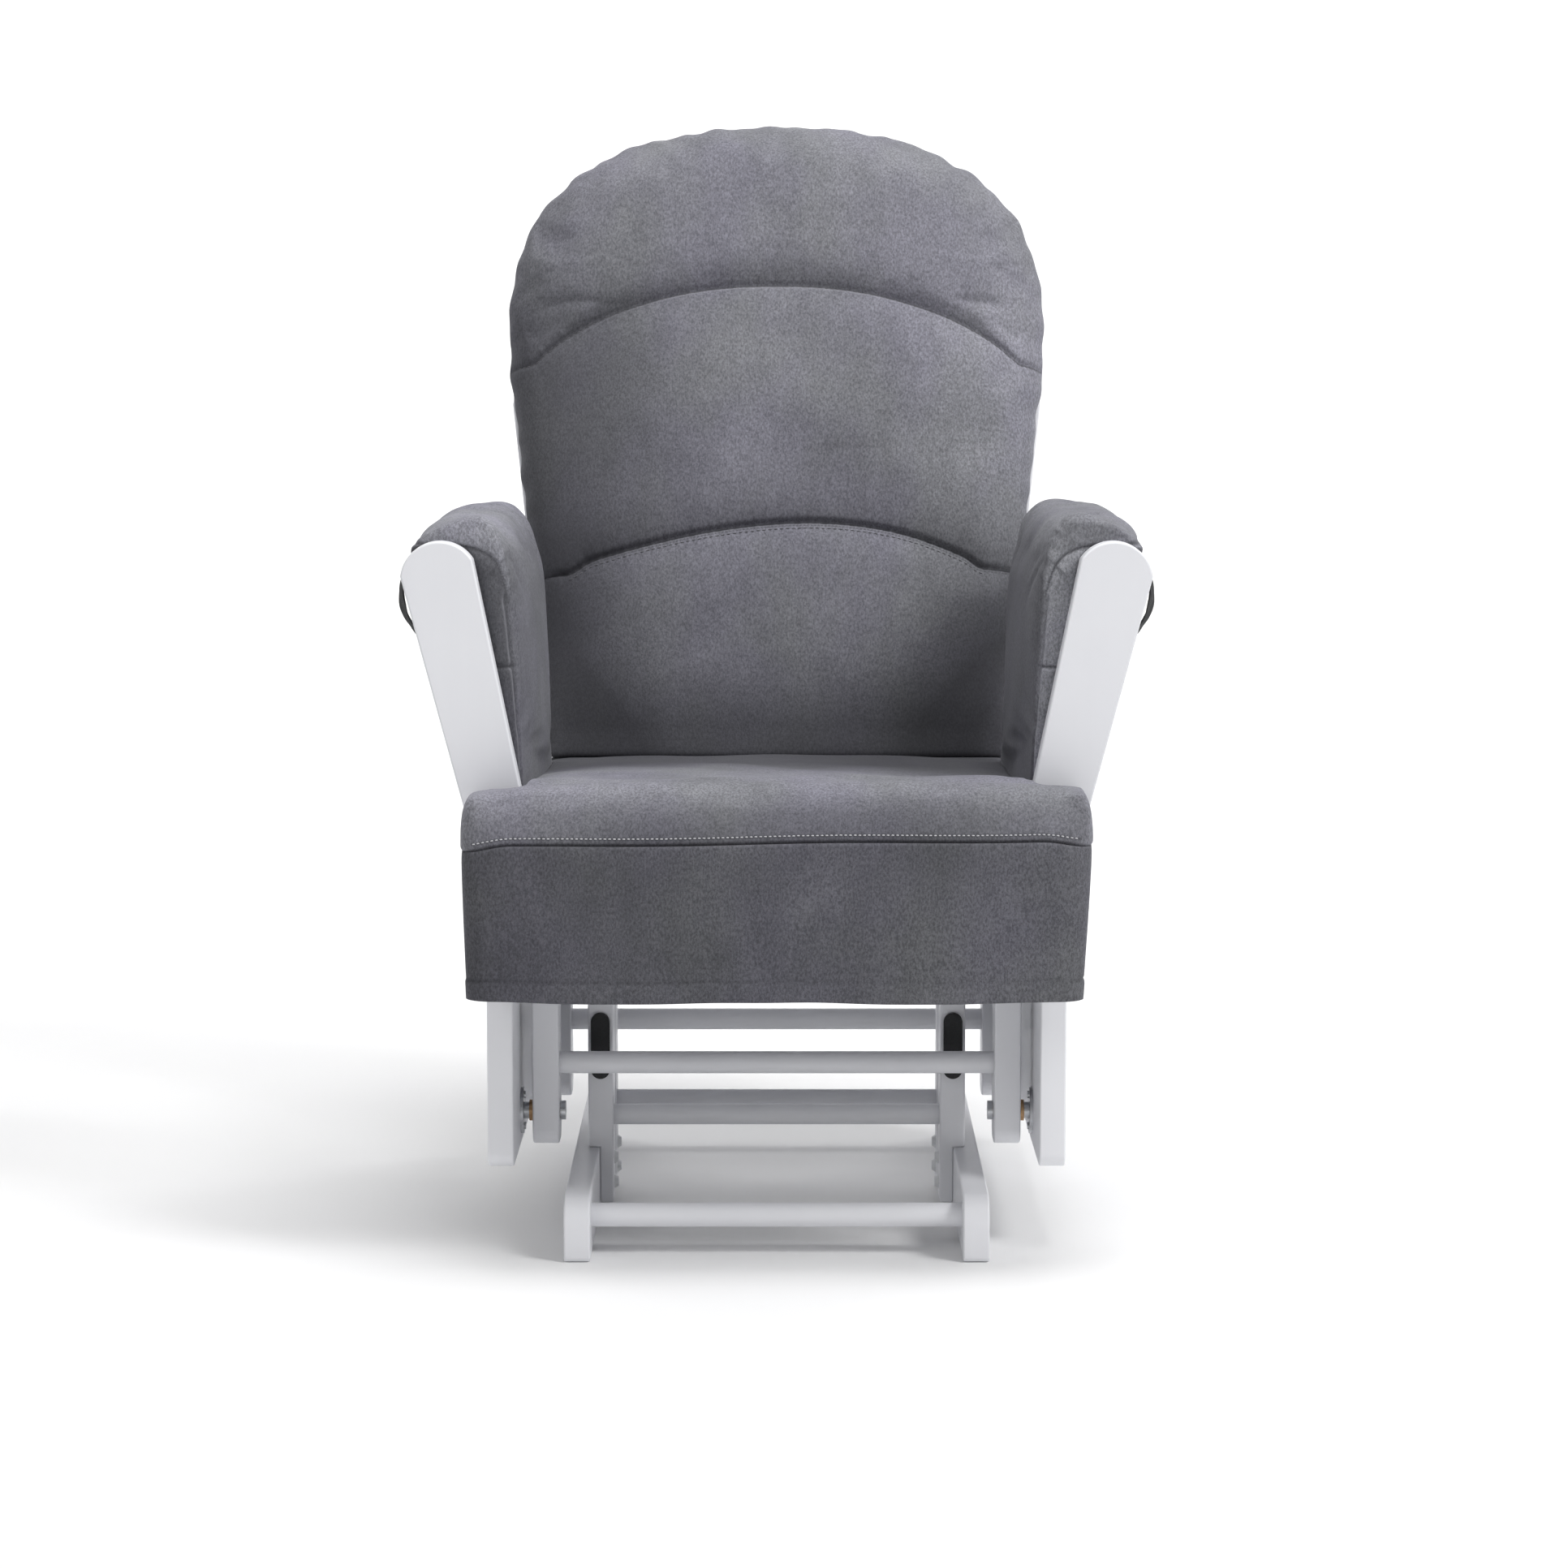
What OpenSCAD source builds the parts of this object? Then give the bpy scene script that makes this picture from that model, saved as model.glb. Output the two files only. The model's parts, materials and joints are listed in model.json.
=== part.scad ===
// Glider nursery chair. Millimetres, +Z up, the chair faces -Y, and +X is to the right of someone who
// faces it.
// A floor base carries four hanging links. The seat, arms and back hang on the lower ends of the links
// and swing to and fro as a parallelogram.

/* [Base] */
// Length of each floor skid
skid_len = 560; // [500:5:600]
// Height of each floor skid
skid_h = 60; // [56:1:64]
// Thickness of the boards of the base
base_board_t = 24; // [22:1:26]
// Distance from the middle plane to the inner face of a skid
skid_inner_x = 170; // [166:1:172]
// Width of an upright, front to back
upright_w = 48; // [40:1:50]
// Diameter of the dowels that join the skids
skid_dowel_d = 22; // [20:1:24]

/* [Glide mechanism] */
// Distance from the middle of the base to each pair of pivots, front to back
pivot_offset = 115; // [112:1:120]
// Height of the upper pivots
pivot_top_z = 300; // [298:1:302]
// Height of the lower pivots
pivot_low_z = 108; // [106:1:112]
// Width of a link
link_w = 46; // [42:1:48]
// Thickness of a link
link_t = 25; // [24:1:25]
// Largest swing of the links, each way, in degrees
swing = 15; // [10:1:15]
// Diameter of the dowel that joins each pair of links
link_dowel_d = 21; // [20:1:22]
// Diameter of a pivot bolt
pivot_d = 10; // [8:1:10]

/* [Seat] */
// Height of the top of the seat slats
deck_z = 352; // [350:1:354]
// Height of the seat cushion's crown, near its front edge
seat_top_z = 438; // [430:1:442]
// Height of the seat cushion's top at the back
seat_back_z = 417; // [410:1:420]
// Width of the seat cushion in front of the arm posts
seat_front_w = 550; // [540:1:550]
// Height of the lower edge of the seat skirt
skirt_z = 250; // [235:1:260]

/* [Arms] */
// Outward lean of the arms, in degrees
arm_lean = 13.1; // [12.5:0.1:13.5]
// Width of a front arm post near its top
arm_post_w = 67; // [62:1:68]
// Thickness of an arm post
arm_post_t = 22; // [20:1:22]

/* [Back] */
// Recline of the back from vertical, in degrees
recline = 14; // [13:0.5:15]
// Thickness of the back frame
back_t = 22; // [20:1:24]
// Thickness of the back cushion
back_cushion_t = 90; // [80:1:95]

/* [Overall] */
// Overall depth
depth = 720; // [715:1:725]
// Overall height
height = 1045; // [1040:1:1050]

/* [Hidden] */
$fn = 48;

paint = "#ededee";
cloth = "#73747b";
zinc = "#b9bcc0";
bronze = "#a8825a";
black = "#1b1c1e";

// Layout across the chair, from the middle plane outwards
skid_outer_x = skid_inner_x + base_board_t;
upright_lap = 13;
upright_inner_x = skid_inner_x - upright_lap;
link_inner_x = skid_outer_x + 11;
link_outer_x = link_inner_x + link_t;
panel_inner_x = link_outer_x + 12;
panel_t = 24;
panel_outer_x = panel_inner_x + panel_t;

// Layout front to back
base_mid_y = -20;
seat_front_y = -depth / 2;
arm_front_y = -270;
frame_front_y = arm_front_y + arm_post_t;
frame_rear_y = 218;
board_t = 24;
back_y = 172;

// Base
skid_y0 = base_mid_y - skid_len / 2;
skid_foot_r = 5;
skid_top_r = 26;
skid_dowel_inset = 38;
skid_dowel_z = 36;
dowel_seat = 12;
hanger_z0 = 272;
hanger_h = 54;
hanger_r = 20;
hanger_end = 26;
hanger_len = 2 * (pivot_offset + hanger_end);
upright_inset = 6;
upright_head_z = hanger_z0 + hanger_h - upright_inset;
upright_dowel_d = 20;
upright_dowel_z = 88;
base_bolt_heights = [22, 46, 286, 312];
base_bolt_d = 6;
base_bolt_reach = 12;
bolt_cap_t = 4;
bolt_cap_r = 7;
bolt_cap_face_r = 4.5;

// Glide mechanism
link_dowel_z = 154;
link_end = 30;
link_top_z = pivot_top_z + link_end - 2;
link_low_z = pivot_low_z - link_end;
link_low_r = 16;
link_top_r = 18;
dowel_travel = (pivot_top_z - link_dowel_z) * sin(swing);
bumper_t = 6;
bumper_w = 18;
bumper_h = 64;
stop_gap = 0.5;
upright_near = pivot_offset - dowel_travel - link_dowel_d / 2 - stop_gap - bumper_t;
running = 0.05;
side_play = 0.3;
bush_r = pivot_d / 2 + 2;
flange_r = 10;
flange_t = 4;
head_r = 9;
head_t = 5;
nut_t = 7;
cap_nut_t = 5;
cap_nut_r = 9;
cap_nut_face_r = 6;
plate_r = 22;
plate_t = 3;
plate_screw_offset = 15;
plate_screw_r = 3.5;
plate_screw_t = 1.5;
hub_r = 8;

// Seat frame
seat_slats = 5;
rail_h = 72;
slat_t = 12;
rail_top_z = deck_z - slat_t;
rail_z0 = rail_top_z - rail_h;
panel_low_z = 76;
panel_low_r = 14;
slat_w = 58;
slat_y0 = frame_front_y + 4;
slat_y1 = back_y - 12;
slat_pitch = (slat_y1 - slat_y0 - slat_w) / (seat_slats - 1);
slat_screw_d = 4;
slat_screw_depth = 14;
slat_screw_head_r = 4.5;
slat_screw_head_t = 3;
frame_bolt_d = 7;
frame_bolt_head_d = 14;
frame_bolt_head_t = 5;
frame_bolt_grip = 33;
frame_bolt_heights = [290, 322];

// Arms, in the leaning plane of an arm: u across, v along the lean from the floor line
lean_x0 = 159.6;
post_v0 = 262;
post_v1 = 680;
post_taper = 0.0583;
post_wide_v = 649;
post_top_v = 671.6;
post_top_r = 35.4;
rear_post_trim = 6;
arm_rest_u0 = -30;
arm_rest_u1 = 26;
arm_rest_v0 = 633;
arm_rest_v1 = 656;
arm_pad_y1 = 85;
strap_w = 25;
strap_t = 2;
strap_positions = [-190, 20];

// Cross-section of an arm pad in (x, z): its inner face, the crest of its crown and its outer hem, and the
// back of the drop beside the seat, from under the arm rest down to the foot
pad_foot = [229, 424];
pad_shoulder = [237, 600];
pad_crest = [272, 681];
pad_hem = [333, 640];
pad_drop_back = [[262, 590], [238, 424]];

// Route of the pad's straps in (x, z), slack round the outer edge of the arm rest and back under it
strap_path = [[335, 641], [339.5, 629], [344, 614], [345.5, 600], [342, 586], [334, 573], [320, 564],
  [295, 566], [262.6, 587.5]];

// Back, in the reclined plane: x across, s up the recline, t behind the front face
back_z0 = 345;
stile_w = 32;
stile_foot_w = 28;
stile_inner_x = 194;
stile_spread = 0.105;
stile_bend_s = 430;
stile_top_s = 540;
back_top_s = (depth / 2 - back_y - back_t * cos(recline)) / sin(recline);
crest_half_w = 256;
crest_power = 2.1;
back_rail_s0 = 62;
back_rail_s1 = 122;
back_slat_w = 44;
back_slat_t = 10;
back_slat_low = 75;
back_slat_top = 85;
stile_foot_z = 262;

// Cushions. The sides of the back cushion are half widths at heights up the recline
cushion_half_w = 271;
cushion_spring_s = 495;
cushion_power = 2.4;
cushion_sides = [[224, 30], [252, 290], [262, 390]];
cushion_top_s = (height - back_z0 - back_cushion_t * sin(recline)) / cos(recline);
cushion_foot_z = seat_back_z + 3.5;
skirt_top_z = 393;
skirt_t = 2.5;
skirt_half_w = 278;
skirt_return_y = -278;
cushion_front_y = seat_front_y + skirt_t + 0.5;
cushion_waist_y = -275;
cushion_rear_y = 160;
cushion_waist_half_w = 227;
notch_half_w = 211;
notch_rear_y = -244;
cushion_rear_half_w = 218;
cushion_edge_z = 395;
cushion_edge_r = 45;

// ---------- helpers ----------

// Puts its children on one side of the chair: 1 is +X, -1 is -X
module on_side(side) {
  if (side > 0) children();
  else mirror([1, 0, 0]) children();
}

// A board whose outline is drawn in (y, z) and whose thickness runs from x to x + t
module side_board(x, t) {
  translate([x, 0, 0]) rotate([90, 0, 90]) linear_extrude(t) children();
}

// A board whose outline is drawn in (x, z) and whose thickness runs from y to y + t
module front_board(y, t) {
  translate([0, y + t, 0]) rotate([90, 0, 0]) linear_extrude(t) children();
}

// A rod along +X, from x0 to x1, centred on (y, z)
module rod_x(x0, x1, y, z, r) {
  translate([x0, y, z]) rotate([0, 90, 0]) cylinder(h = x1 - x0, r = r);
}

// A rod along +Y, from y0 to y1, centred on (x, z)
module rod_y(y0, y1, x, z, r) {
  translate([x, y1, z]) rotate([90, 0, 0]) cylinder(h = y1 - y0, r = r);
}

// What rounding takes off a corner at the origin of a shape that lies towards -x and -y
module corner_cut(r) {
  translate([-r, -r]) difference() {
    square(r + 1);
    circle(r);
  }
}

// A rectangle with its lower corners rounded to one radius and its upper corners to another, or left square
module rounded_plate(w, h, low_r, top_r) {
  difference() {
    square([w, h]);
    rotate(180) corner_cut(low_r);
    translate([w, 0]) rotate(270) corner_cut(low_r);
    if (top_r > 0) {
      translate([w, h]) corner_cut(top_r);
      translate([0, h]) rotate(90) corner_cut(top_r);
    }
  }
}

// Front-to-back place of the pivots at one end: -1 is the front, 1 is the rear
function pivot_y(end) = base_mid_y + end * pivot_offset;
function upright_y(end) = base_mid_y + end * (upright_near - upright_w / 2);

// ---------- base ----------

module skid(side) {
  color(paint) on_side(side) difference() {
    side_board(skid_inner_x, base_board_t) translate([skid_y0, 0])
      rounded_plate(skid_len, skid_h, skid_foot_r, skid_top_r);
    for (y = [skid_y0 + skid_dowel_inset, skid_y0 + skid_len - skid_dowel_inset])
      rod_x(skid_inner_x - 1, skid_inner_x + dowel_seat, y, skid_dowel_z, skid_dowel_d / 2);
    base_bolt_holes();
  }
}

// The shanks of the base bolts on one side, as holes
module base_bolt_holes() {
  for (end = [-1, 1])
    for (z = base_bolt_heights)
      rod_x(upright_inner_x - 1, skid_inner_x + base_bolt_reach, upright_y(end), z, base_bolt_d / 2);
}

// An upright stands on the skid and is lapped over the inner face of the skid and the hanger rail
module upright(side, end) {
  y = upright_y(end) - upright_w / 2;
  color(paint) on_side(side) difference() {
    union() {
      translate([upright_inner_x, y, upright_inset])
        cube([upright_lap, upright_w, upright_head_z - upright_inset]);
      translate([upright_inner_x, y, skid_h])
        cube([base_board_t, upright_w, hanger_z0 - skid_h]);
    }
    base_bolt_holes();
    rod_x(upright_inner_x - 1, upright_inner_x + dowel_seat, upright_y(end), upright_dowel_z,
      upright_dowel_d / 2);
  }
}

module hanger_rail(side) {
  color(paint) on_side(side) difference() {
    side_board(skid_inner_x, base_board_t) translate([base_mid_y - hanger_len / 2, hanger_z0])
      rounded_plate(hanger_len, hanger_h, hanger_r, hanger_r);
    for (end = [-1, 1])
      rod_x(skid_inner_x - 1, skid_outer_x + 1, pivot_y(end), pivot_top_z, pivot_d / 2);
    base_bolt_holes();
  }
}

module skid_dowel(end) {
  x = skid_inner_x + dowel_seat;
  y = base_mid_y + end * (skid_len / 2 - skid_dowel_inset);
  color(paint) rod_x(-x, x, y, skid_dowel_z, skid_dowel_d / 2);
}

module upright_dowel(end) {
  x = upright_inner_x + dowel_seat;
  color(paint) rod_x(-x, x, upright_y(end), upright_dowel_z, upright_dowel_d / 2);
}

// Rubber pads with round ends, which the link dowels meet at the end of the swing
module bumper_pads() {
  x = upright_inner_x + base_board_t / 2;
  color(black) for (side = [-1, 1]) for (end = [-1, 1]) {
    face = base_mid_y + end * (upright_near + bumper_t / 2);
    on_side(side) front_board(face - bumper_t / 2, bumper_t) translate([x, link_dowel_z + 6]) {
      square([bumper_w, bumper_h - bumper_w], center = true);
      translate([0, (bumper_h - bumper_w) / 2]) circle(bumper_w / 2);
      translate([0, -(bumper_h - bumper_w) / 2]) circle(bumper_w / 2);
    }
  }
}

// Capped bolts that hold the laps of the uprights
module base_bolts() {
  color(paint) for (side = [-1, 1]) on_side(side)
    for (end = [-1, 1])
      for (z = base_bolt_heights) {
        rod_x(upright_inner_x, skid_inner_x + base_bolt_reach, upright_y(end), z, base_bolt_d / 2);
        translate([upright_inner_x - bolt_cap_t, upright_y(end), z]) rotate([0, 90, 0])
          cylinder(h = bolt_cap_t, r1 = bolt_cap_face_r, r2 = bolt_cap_r);
      }
}

// ---------- pivots ----------

module upper_pivot_bolts() {
  color(zinc) for (side = [-1, 1]) on_side(side)
    for (end = [-1, 1]) {
      x0 = link_outer_x + side_play;
      rod_x(skid_inner_x - nut_t, x0 + head_t, pivot_y(end), pivot_top_z, pivot_d / 2);
      rod_x(x0, x0 + head_t, pivot_y(end), pivot_top_z, head_r);
      translate([skid_inner_x - nut_t, pivot_y(end), pivot_top_z]) rotate([0, 90, 0])
        cylinder(h = nut_t, r = head_r, $fn = 6);
    }
}

// A ring along X
module ring_x(x0, x1, y, z, r, bore_r) {
  difference() {
    rod_x(x0, x1, y, z, r);
    rod_x(x0 - 1, x1 + 1, y, z, bore_r);
  }
}

module upper_pivot_spacers() {
  x1 = link_inner_x - flange_t - side_play;
  color(zinc) for (side = [-1, 1]) on_side(side)
    for (end = [-1, 1]) ring_x(skid_outer_x, x1, pivot_y(end), pivot_top_z, head_r, pivot_d / 2);
}

// A bolt from inside the link, out through the side panel to a cap nut
module lower_pivot_bolts() {
  x0 = link_inner_x - side_play - head_t;
  color(zinc) for (side = [-1, 1]) on_side(side)
    for (end = [-1, 1]) {
      rod_x(x0, panel_outer_x + 1, pivot_y(end), pivot_low_z, pivot_d / 2);
      rod_x(x0, x0 + head_t, pivot_y(end), pivot_low_z, head_r);
      translate([panel_outer_x, pivot_y(end), pivot_low_z]) rotate([0, 90, 0])
        cylinder(h = cap_nut_t, r1 = cap_nut_r, r2 = cap_nut_face_r);
    }
}

// A round plate with a hub on the inner face of the side panel
module bearing_plates() {
  color(zinc) for (side = [-1, 1]) on_side(side)
    for (end = [-1, 1]) difference() {
      union() {
        rod_x(panel_inner_x - plate_t, panel_inner_x, pivot_y(end), pivot_low_z, plate_r);
        rod_x(link_outer_x + flange_t + side_play, panel_inner_x, pivot_y(end), pivot_low_z, hub_r);
        for (dz = [-plate_screw_offset, plate_screw_offset])
          rod_x(panel_inner_x - plate_t - plate_screw_t, panel_inner_x, pivot_y(end), pivot_low_z + dz,
            plate_screw_r);
      }
      rod_x(link_outer_x, panel_outer_x, pivot_y(end), pivot_low_z, pivot_d / 2);
    }
}

// ---------- links ----------

module link(side, end) {
  color(paint) on_side(side) difference() {
    side_board(link_inner_x, link_t) translate([pivot_y(end) - link_w / 2, link_low_z])
      rounded_plate(link_w, link_top_z - link_low_z, link_low_r, link_top_r);
    for (z = [pivot_low_z, pivot_top_z])
      rod_x(link_inner_x - 1, link_outer_x + 1, pivot_y(end), z, bush_r);
    rod_x(link_inner_x - 1, link_inner_x + dowel_seat, pivot_y(end), link_dowel_z, link_dowel_d / 2);
  }
}

module link_dowel(end) {
  x = link_inner_x + dowel_seat;
  color(paint) rod_x(-x, x, pivot_y(end), link_dowel_z, link_dowel_d / 2);
}

// Flanged bushes: the flange faces the hanger rail at the top and the side panel at the bottom
module link_bushes(end) {
  y = pivot_y(end);
  bore_r = pivot_d / 2 + running;
  color(bronze) for (side = [-1, 1]) on_side(side) {
    difference() {
      union() {
        rod_x(link_inner_x - flange_t, link_outer_x, y, pivot_top_z, bush_r);
        rod_x(link_inner_x - flange_t, link_inner_x, y, pivot_top_z, flange_r);
      }
      rod_x(link_inner_x - flange_t - 1, link_outer_x + 1, y, pivot_top_z, bore_r);
    }
    difference() {
      union() {
        rod_x(link_inner_x, link_outer_x + flange_t, y, pivot_low_z, bush_r);
        rod_x(link_outer_x, link_outer_x + flange_t, y, pivot_low_z, flange_r);
      }
      rod_x(link_inner_x - 1, link_outer_x + flange_t + 1, y, pivot_low_z, bore_r);
    }
  }
}

// ---------- seat frame ----------

module side_panel(side) {
  color(paint) on_side(side) difference() {
    side_board(panel_inner_x, panel_t) translate([frame_front_y, panel_low_z])
      rounded_plate(frame_rear_y - frame_front_y, rail_top_z - panel_low_z, panel_low_r, 0);
    for (end = [-1, 1])
      rod_x(panel_inner_x - 1, panel_outer_x + 1, pivot_y(end), pivot_low_z, pivot_d / 2);
    for (i = [0 : seat_slats - 1]) slat_screw_shank(slat_mid_y(i));
  }
}

module seat_rail(y) {
  color(paint) difference() {
    translate([-panel_inner_x, y, rail_z0]) cube([2 * panel_inner_x, board_t, rail_h]);
    for (side = [-1, 1]) on_side(side) {
      arm_post_bolts();
      stile_bolts();
    }
  }
}

function slat_mid_y(i) = slat_y0 + slat_w / 2 + i * slat_pitch;

module slat_screw_shank(y) {
  translate([panel_inner_x + panel_t / 2, y, rail_top_z - slat_screw_depth])
    cylinder(h = slat_screw_depth + slat_t, d = slat_screw_d);
}

// A countersunk screw, whose head is flush with the top of the slat
module slat_screw(y) {
  slat_screw_shank(y);
  translate([panel_inner_x + panel_t / 2, y, deck_z - slat_screw_head_t])
    cylinder(h = slat_screw_head_t, r1 = slat_screw_d / 2, r2 = slat_screw_head_r);
}

module seat_slat(i) {
  color(paint) difference() {
    translate([-panel_outer_x, slat_mid_y(i) - slat_w / 2, rail_top_z])
      cube([2 * panel_outer_x, slat_w, slat_t]);
    for (side = [-1, 1]) on_side(side) slat_screw(slat_mid_y(i));
  }
}

module slat_screws() {
  color(zinc) for (side = [-1, 1]) on_side(side)
    for (i = [0 : seat_slats - 1]) slat_screw(slat_mid_y(i));
}

// One bolt along Y: the head is sunk at y, and the grip runs away from it in the direction dir
module frame_bolt(x, y, z, dir) {
  y_end = y + dir * (frame_bolt_head_t + frame_bolt_grip);
  y_neck = y + dir * frame_bolt_head_t;
  rod_y(min(y, y_end), max(y, y_end), x, z, frame_bolt_d / 2);
  rod_y(min(y, y_neck), max(y, y_neck), x, z, frame_bolt_head_d / 2);
}

function lean_x(z) = lean_x0 + z * tan(arm_lean);

module arm_post_bolts() {
  for (z = frame_bolt_heights) {
    frame_bolt(lean_x(z), arm_front_y, z, 1);
    frame_bolt(lean_x(z), frame_rear_y + arm_post_t, z, -1);
  }
}

module stile_bolts() {
  for (z = frame_bolt_heights) frame_bolt(stile_inner_x + stile_foot_w / 2, back_y, z, 1);
}

module frame_bolts() {
  color(zinc) for (side = [-1, 1]) on_side(side) {
    arm_post_bolts();
    stile_bolts();
  }
}

// ---------- arms ----------

// Places a shape drawn in (u, v) in the leaning plane of an arm, from y to y + t
module lean_board(y, t) {
  translate([lean_x0, y + t, 0]) rotate([0, arm_lean, 0]) rotate([90, 0, 0]) linear_extrude(t) children();
}

// Width of an arm post at v, which widens upwards
function post_w(v) = arm_post_w + (v - post_wide_v) * post_taper;

module arm_post_outline(trim) {
  low = (post_w(post_v0) - trim) / 2;
  top = (post_w(post_v1) - trim) / 2;
  centre_v = post_top_v - post_top_r;
  intersection() {
    polygon([[-low, post_v0], [low, post_v0], [top, post_v1], [-top, post_v1]]);
    union() {
      translate([0, centre_v]) circle(post_top_r, $fn = 96);
      translate([-60, 0]) square([120, centre_v]);
    }
  }
}

module arm_post(side, y, trim) {
  color(paint) on_side(side) difference() {
    lean_board(y, arm_post_t) arm_post_outline(trim);
    arm_post_bolts();
  }
}

module arm_rest(side) {
  color(paint) on_side(side) lean_board(frame_front_y, frame_rear_y - frame_front_y)
    translate([arm_rest_u0, arm_rest_v0])
      square([arm_rest_u1 - arm_rest_u0, arm_rest_v1 - arm_rest_v0]);
}

// Point (u, v) of the leaning plane in (x, z)
function lean_point(u, v) = [
  lean_x0 + v * sin(arm_lean) + u * cos(arm_lean),
  v * cos(arm_lean) - u * sin(arm_lean)
];

// Points of a quarter of an ellipse about a centre, clockwise from the angle a0
function quarter(centre, radii, a0, steps = 6) = [
  for (i = [0 : steps])
    let (a = a0 - 90 * i / steps)
    centre + [radii[0] * cos(a), radii[1] * sin(a)]
];

// Over the arm rest and down the inner side to the seat
module arm_pad(side) {
  inner = [pad_crest[0], pad_shoulder[1]];
  outer = [pad_crest[0], pad_hem[1]];
  color(cloth) on_side(side) front_board(frame_front_y + 1, arm_pad_y1 - frame_front_y - 1)
    polygon(concat(
      [pad_foot],
      quarter(inner, pad_crest - pad_shoulder, 180),
      quarter(outer, [pad_hem[0] - pad_crest[0], pad_crest[1] - pad_hem[1]], 90),
      [lean_point(arm_rest_u1 - 2, arm_rest_v1), lean_point(arm_rest_u0, arm_rest_v1),
       lean_point(arm_rest_u0, arm_rest_v0)],
      pad_drop_back
    ));
}

// The two outlines of a strip that follows a path
function unit(v) = v / norm(v);
function path_dir(path, i) =
  unit(path[min(i + 1, len(path) - 1)] - path[max(i - 1, 0)]);
function side_of(path, i, t) =
  let (d = path_dir(path, i)) path[i] + t * [-d[1], d[0]];
function strip(path, t) = concat(
  path,
  [for (i = [len(path) - 1 : -1 : 0]) side_of(path, i, t)]
);

module arm_straps(side) {
  color(black) on_side(side)
    for (y = strap_positions) front_board(y, strap_w) polygon(strip(strap_path, strap_t));
}

// ---------- back ----------

// Places a shape drawn in (x, s) in the reclined plane, from t0 to t1 behind the front face
module back_board(t0, t1) {
  translate([0, back_y, back_z0]) rotate([-recline, 0, 0]) translate([0, t1, 0]) rotate([90, 0, 0])
    linear_extrude(t1 - t0) children();
}

function stile_in(s) = stile_inner_x + s * stile_spread;

// A stile widens upwards from its foot to the bend, and turns in there to meet the crest
module back_stile(side) {
  bend_x = stile_in(stile_bend_s);
  color(paint) on_side(side) difference() {
    union() {
      back_board(0, back_t) polygon([
        [stile_in(0), 0], [stile_in(0) + stile_foot_w, 0], [bend_x + stile_w, stile_bend_s],
        [crest_half_w, stile_top_s], [crest_half_w - stile_w, stile_top_s], [bend_x, stile_bend_s]
      ]);
      translate([stile_inner_x, back_y, stile_foot_z])
        cube([stile_foot_w, back_t, back_z0 - stile_foot_z]);
    }
    stile_bolts();
  }
}

// Half width of an arch that springs at s0 with half width w and closes at s1
function arch_w(w, s, s0, s1, power) = w * pow(max(0, 1 - pow((s - s0) / (s1 - s0), power)), 1 / power);

// Points of such an arch, from its right-hand spring over the top to the left-hand one
function arch(w, s0, s1, power, steps) = [
  for (i = [0 : 2 * steps])
    let (a = i <= steps ? i : 2 * steps - i)
    let (s = s0 + (s1 - s0) * pow(sin(90 * a / steps), 2 / power))
    [(i <= steps ? 1 : -1) * arch_w(w, s, s0, s1, power), s]
];

module back_top_rail() {
  color(paint) back_board(0, back_t)
    polygon(arch(crest_half_w, stile_top_s, back_top_s, crest_power, 24));
}

module back_lower_rail() {
  low = stile_in(back_rail_s0);
  top = stile_in(back_rail_s1);
  color(paint) back_board(0, back_t)
    polygon([[-low, back_rail_s0], [low, back_rail_s0], [top, back_rail_s1], [-top, back_rail_s1]]);
}

// Slat i of the back, counted from the middle one
module back_slat(i) {
  low = i * back_slat_low;
  top = i * back_slat_top;
  half = back_slat_w / 2;
  front = (back_t - back_slat_t) / 2;
  color(paint) back_board(front, front + back_slat_t)
    polygon([[low - half, back_rail_s1], [low + half, back_rail_s1],
      [top + half, stile_top_s], [top - half, stile_top_s]]);
}

// ---------- soft parts ----------

module seat_cushion_side() {
  crown = [cushion_front_y + cushion_edge_r, cushion_edge_z];
  polygon(concat(
    [[cushion_front_y, deck_z]],
    quarter(crown, [cushion_edge_r, seat_top_z - cushion_edge_z], 180),
    [[cushion_rear_y, seat_back_z], [cushion_rear_y, deck_z]]
  ));
}

// The cushion is notched round the front arm posts
module seat_cushion() {
  half = seat_front_w / 2;
  color(cloth) intersection() {
    side_board(-half, 2 * half) seat_cushion_side();
    translate([0, 0, deck_z - 1]) linear_extrude(100) polygon([
      [-half, cushion_front_y], [half, cushion_front_y], [half, cushion_waist_y],
      [notch_half_w, cushion_waist_y], [notch_half_w, notch_rear_y],
      [cushion_waist_half_w, notch_rear_y], [cushion_rear_half_w, cushion_rear_y],
      [-cushion_rear_half_w, cushion_rear_y], [-cushion_waist_half_w, notch_rear_y],
      [-notch_half_w, notch_rear_y], [-notch_half_w, cushion_waist_y], [-half, cushion_waist_y]
    ]);
  }
}

// A flat skirt round the front of the seat, with short returns at both ends
module seat_skirt() {
  inner = skirt_half_w - skirt_t;
  color(cloth) translate([0, 0, skirt_z]) linear_extrude(skirt_top_z - skirt_z) polygon([
    [-skirt_half_w, seat_front_y], [skirt_half_w, seat_front_y], [skirt_half_w, skirt_return_y],
    [inner, skirt_return_y], [inner, seat_front_y + skirt_t], [-inner, seat_front_y + skirt_t],
    [-inner, skirt_return_y], [-skirt_half_w, skirt_return_y]
  ]);
}

module back_cushion() {
  color(cloth) difference() {
    back_board(-back_cushion_t, 0) polygon(concat(
      cushion_sides,
      arch(cushion_half_w, cushion_spring_s, cushion_top_s, cushion_power, 16),
      [for (i = [len(cushion_sides) - 1 : -1 : 0]) [-cushion_sides[i][0], cushion_sides[i][1]]]
    ));
    translate([-300, 0, cushion_foot_z - 200]) cube([600, 300, 200]);
  }
}

// ---------- nodes ----------

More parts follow.
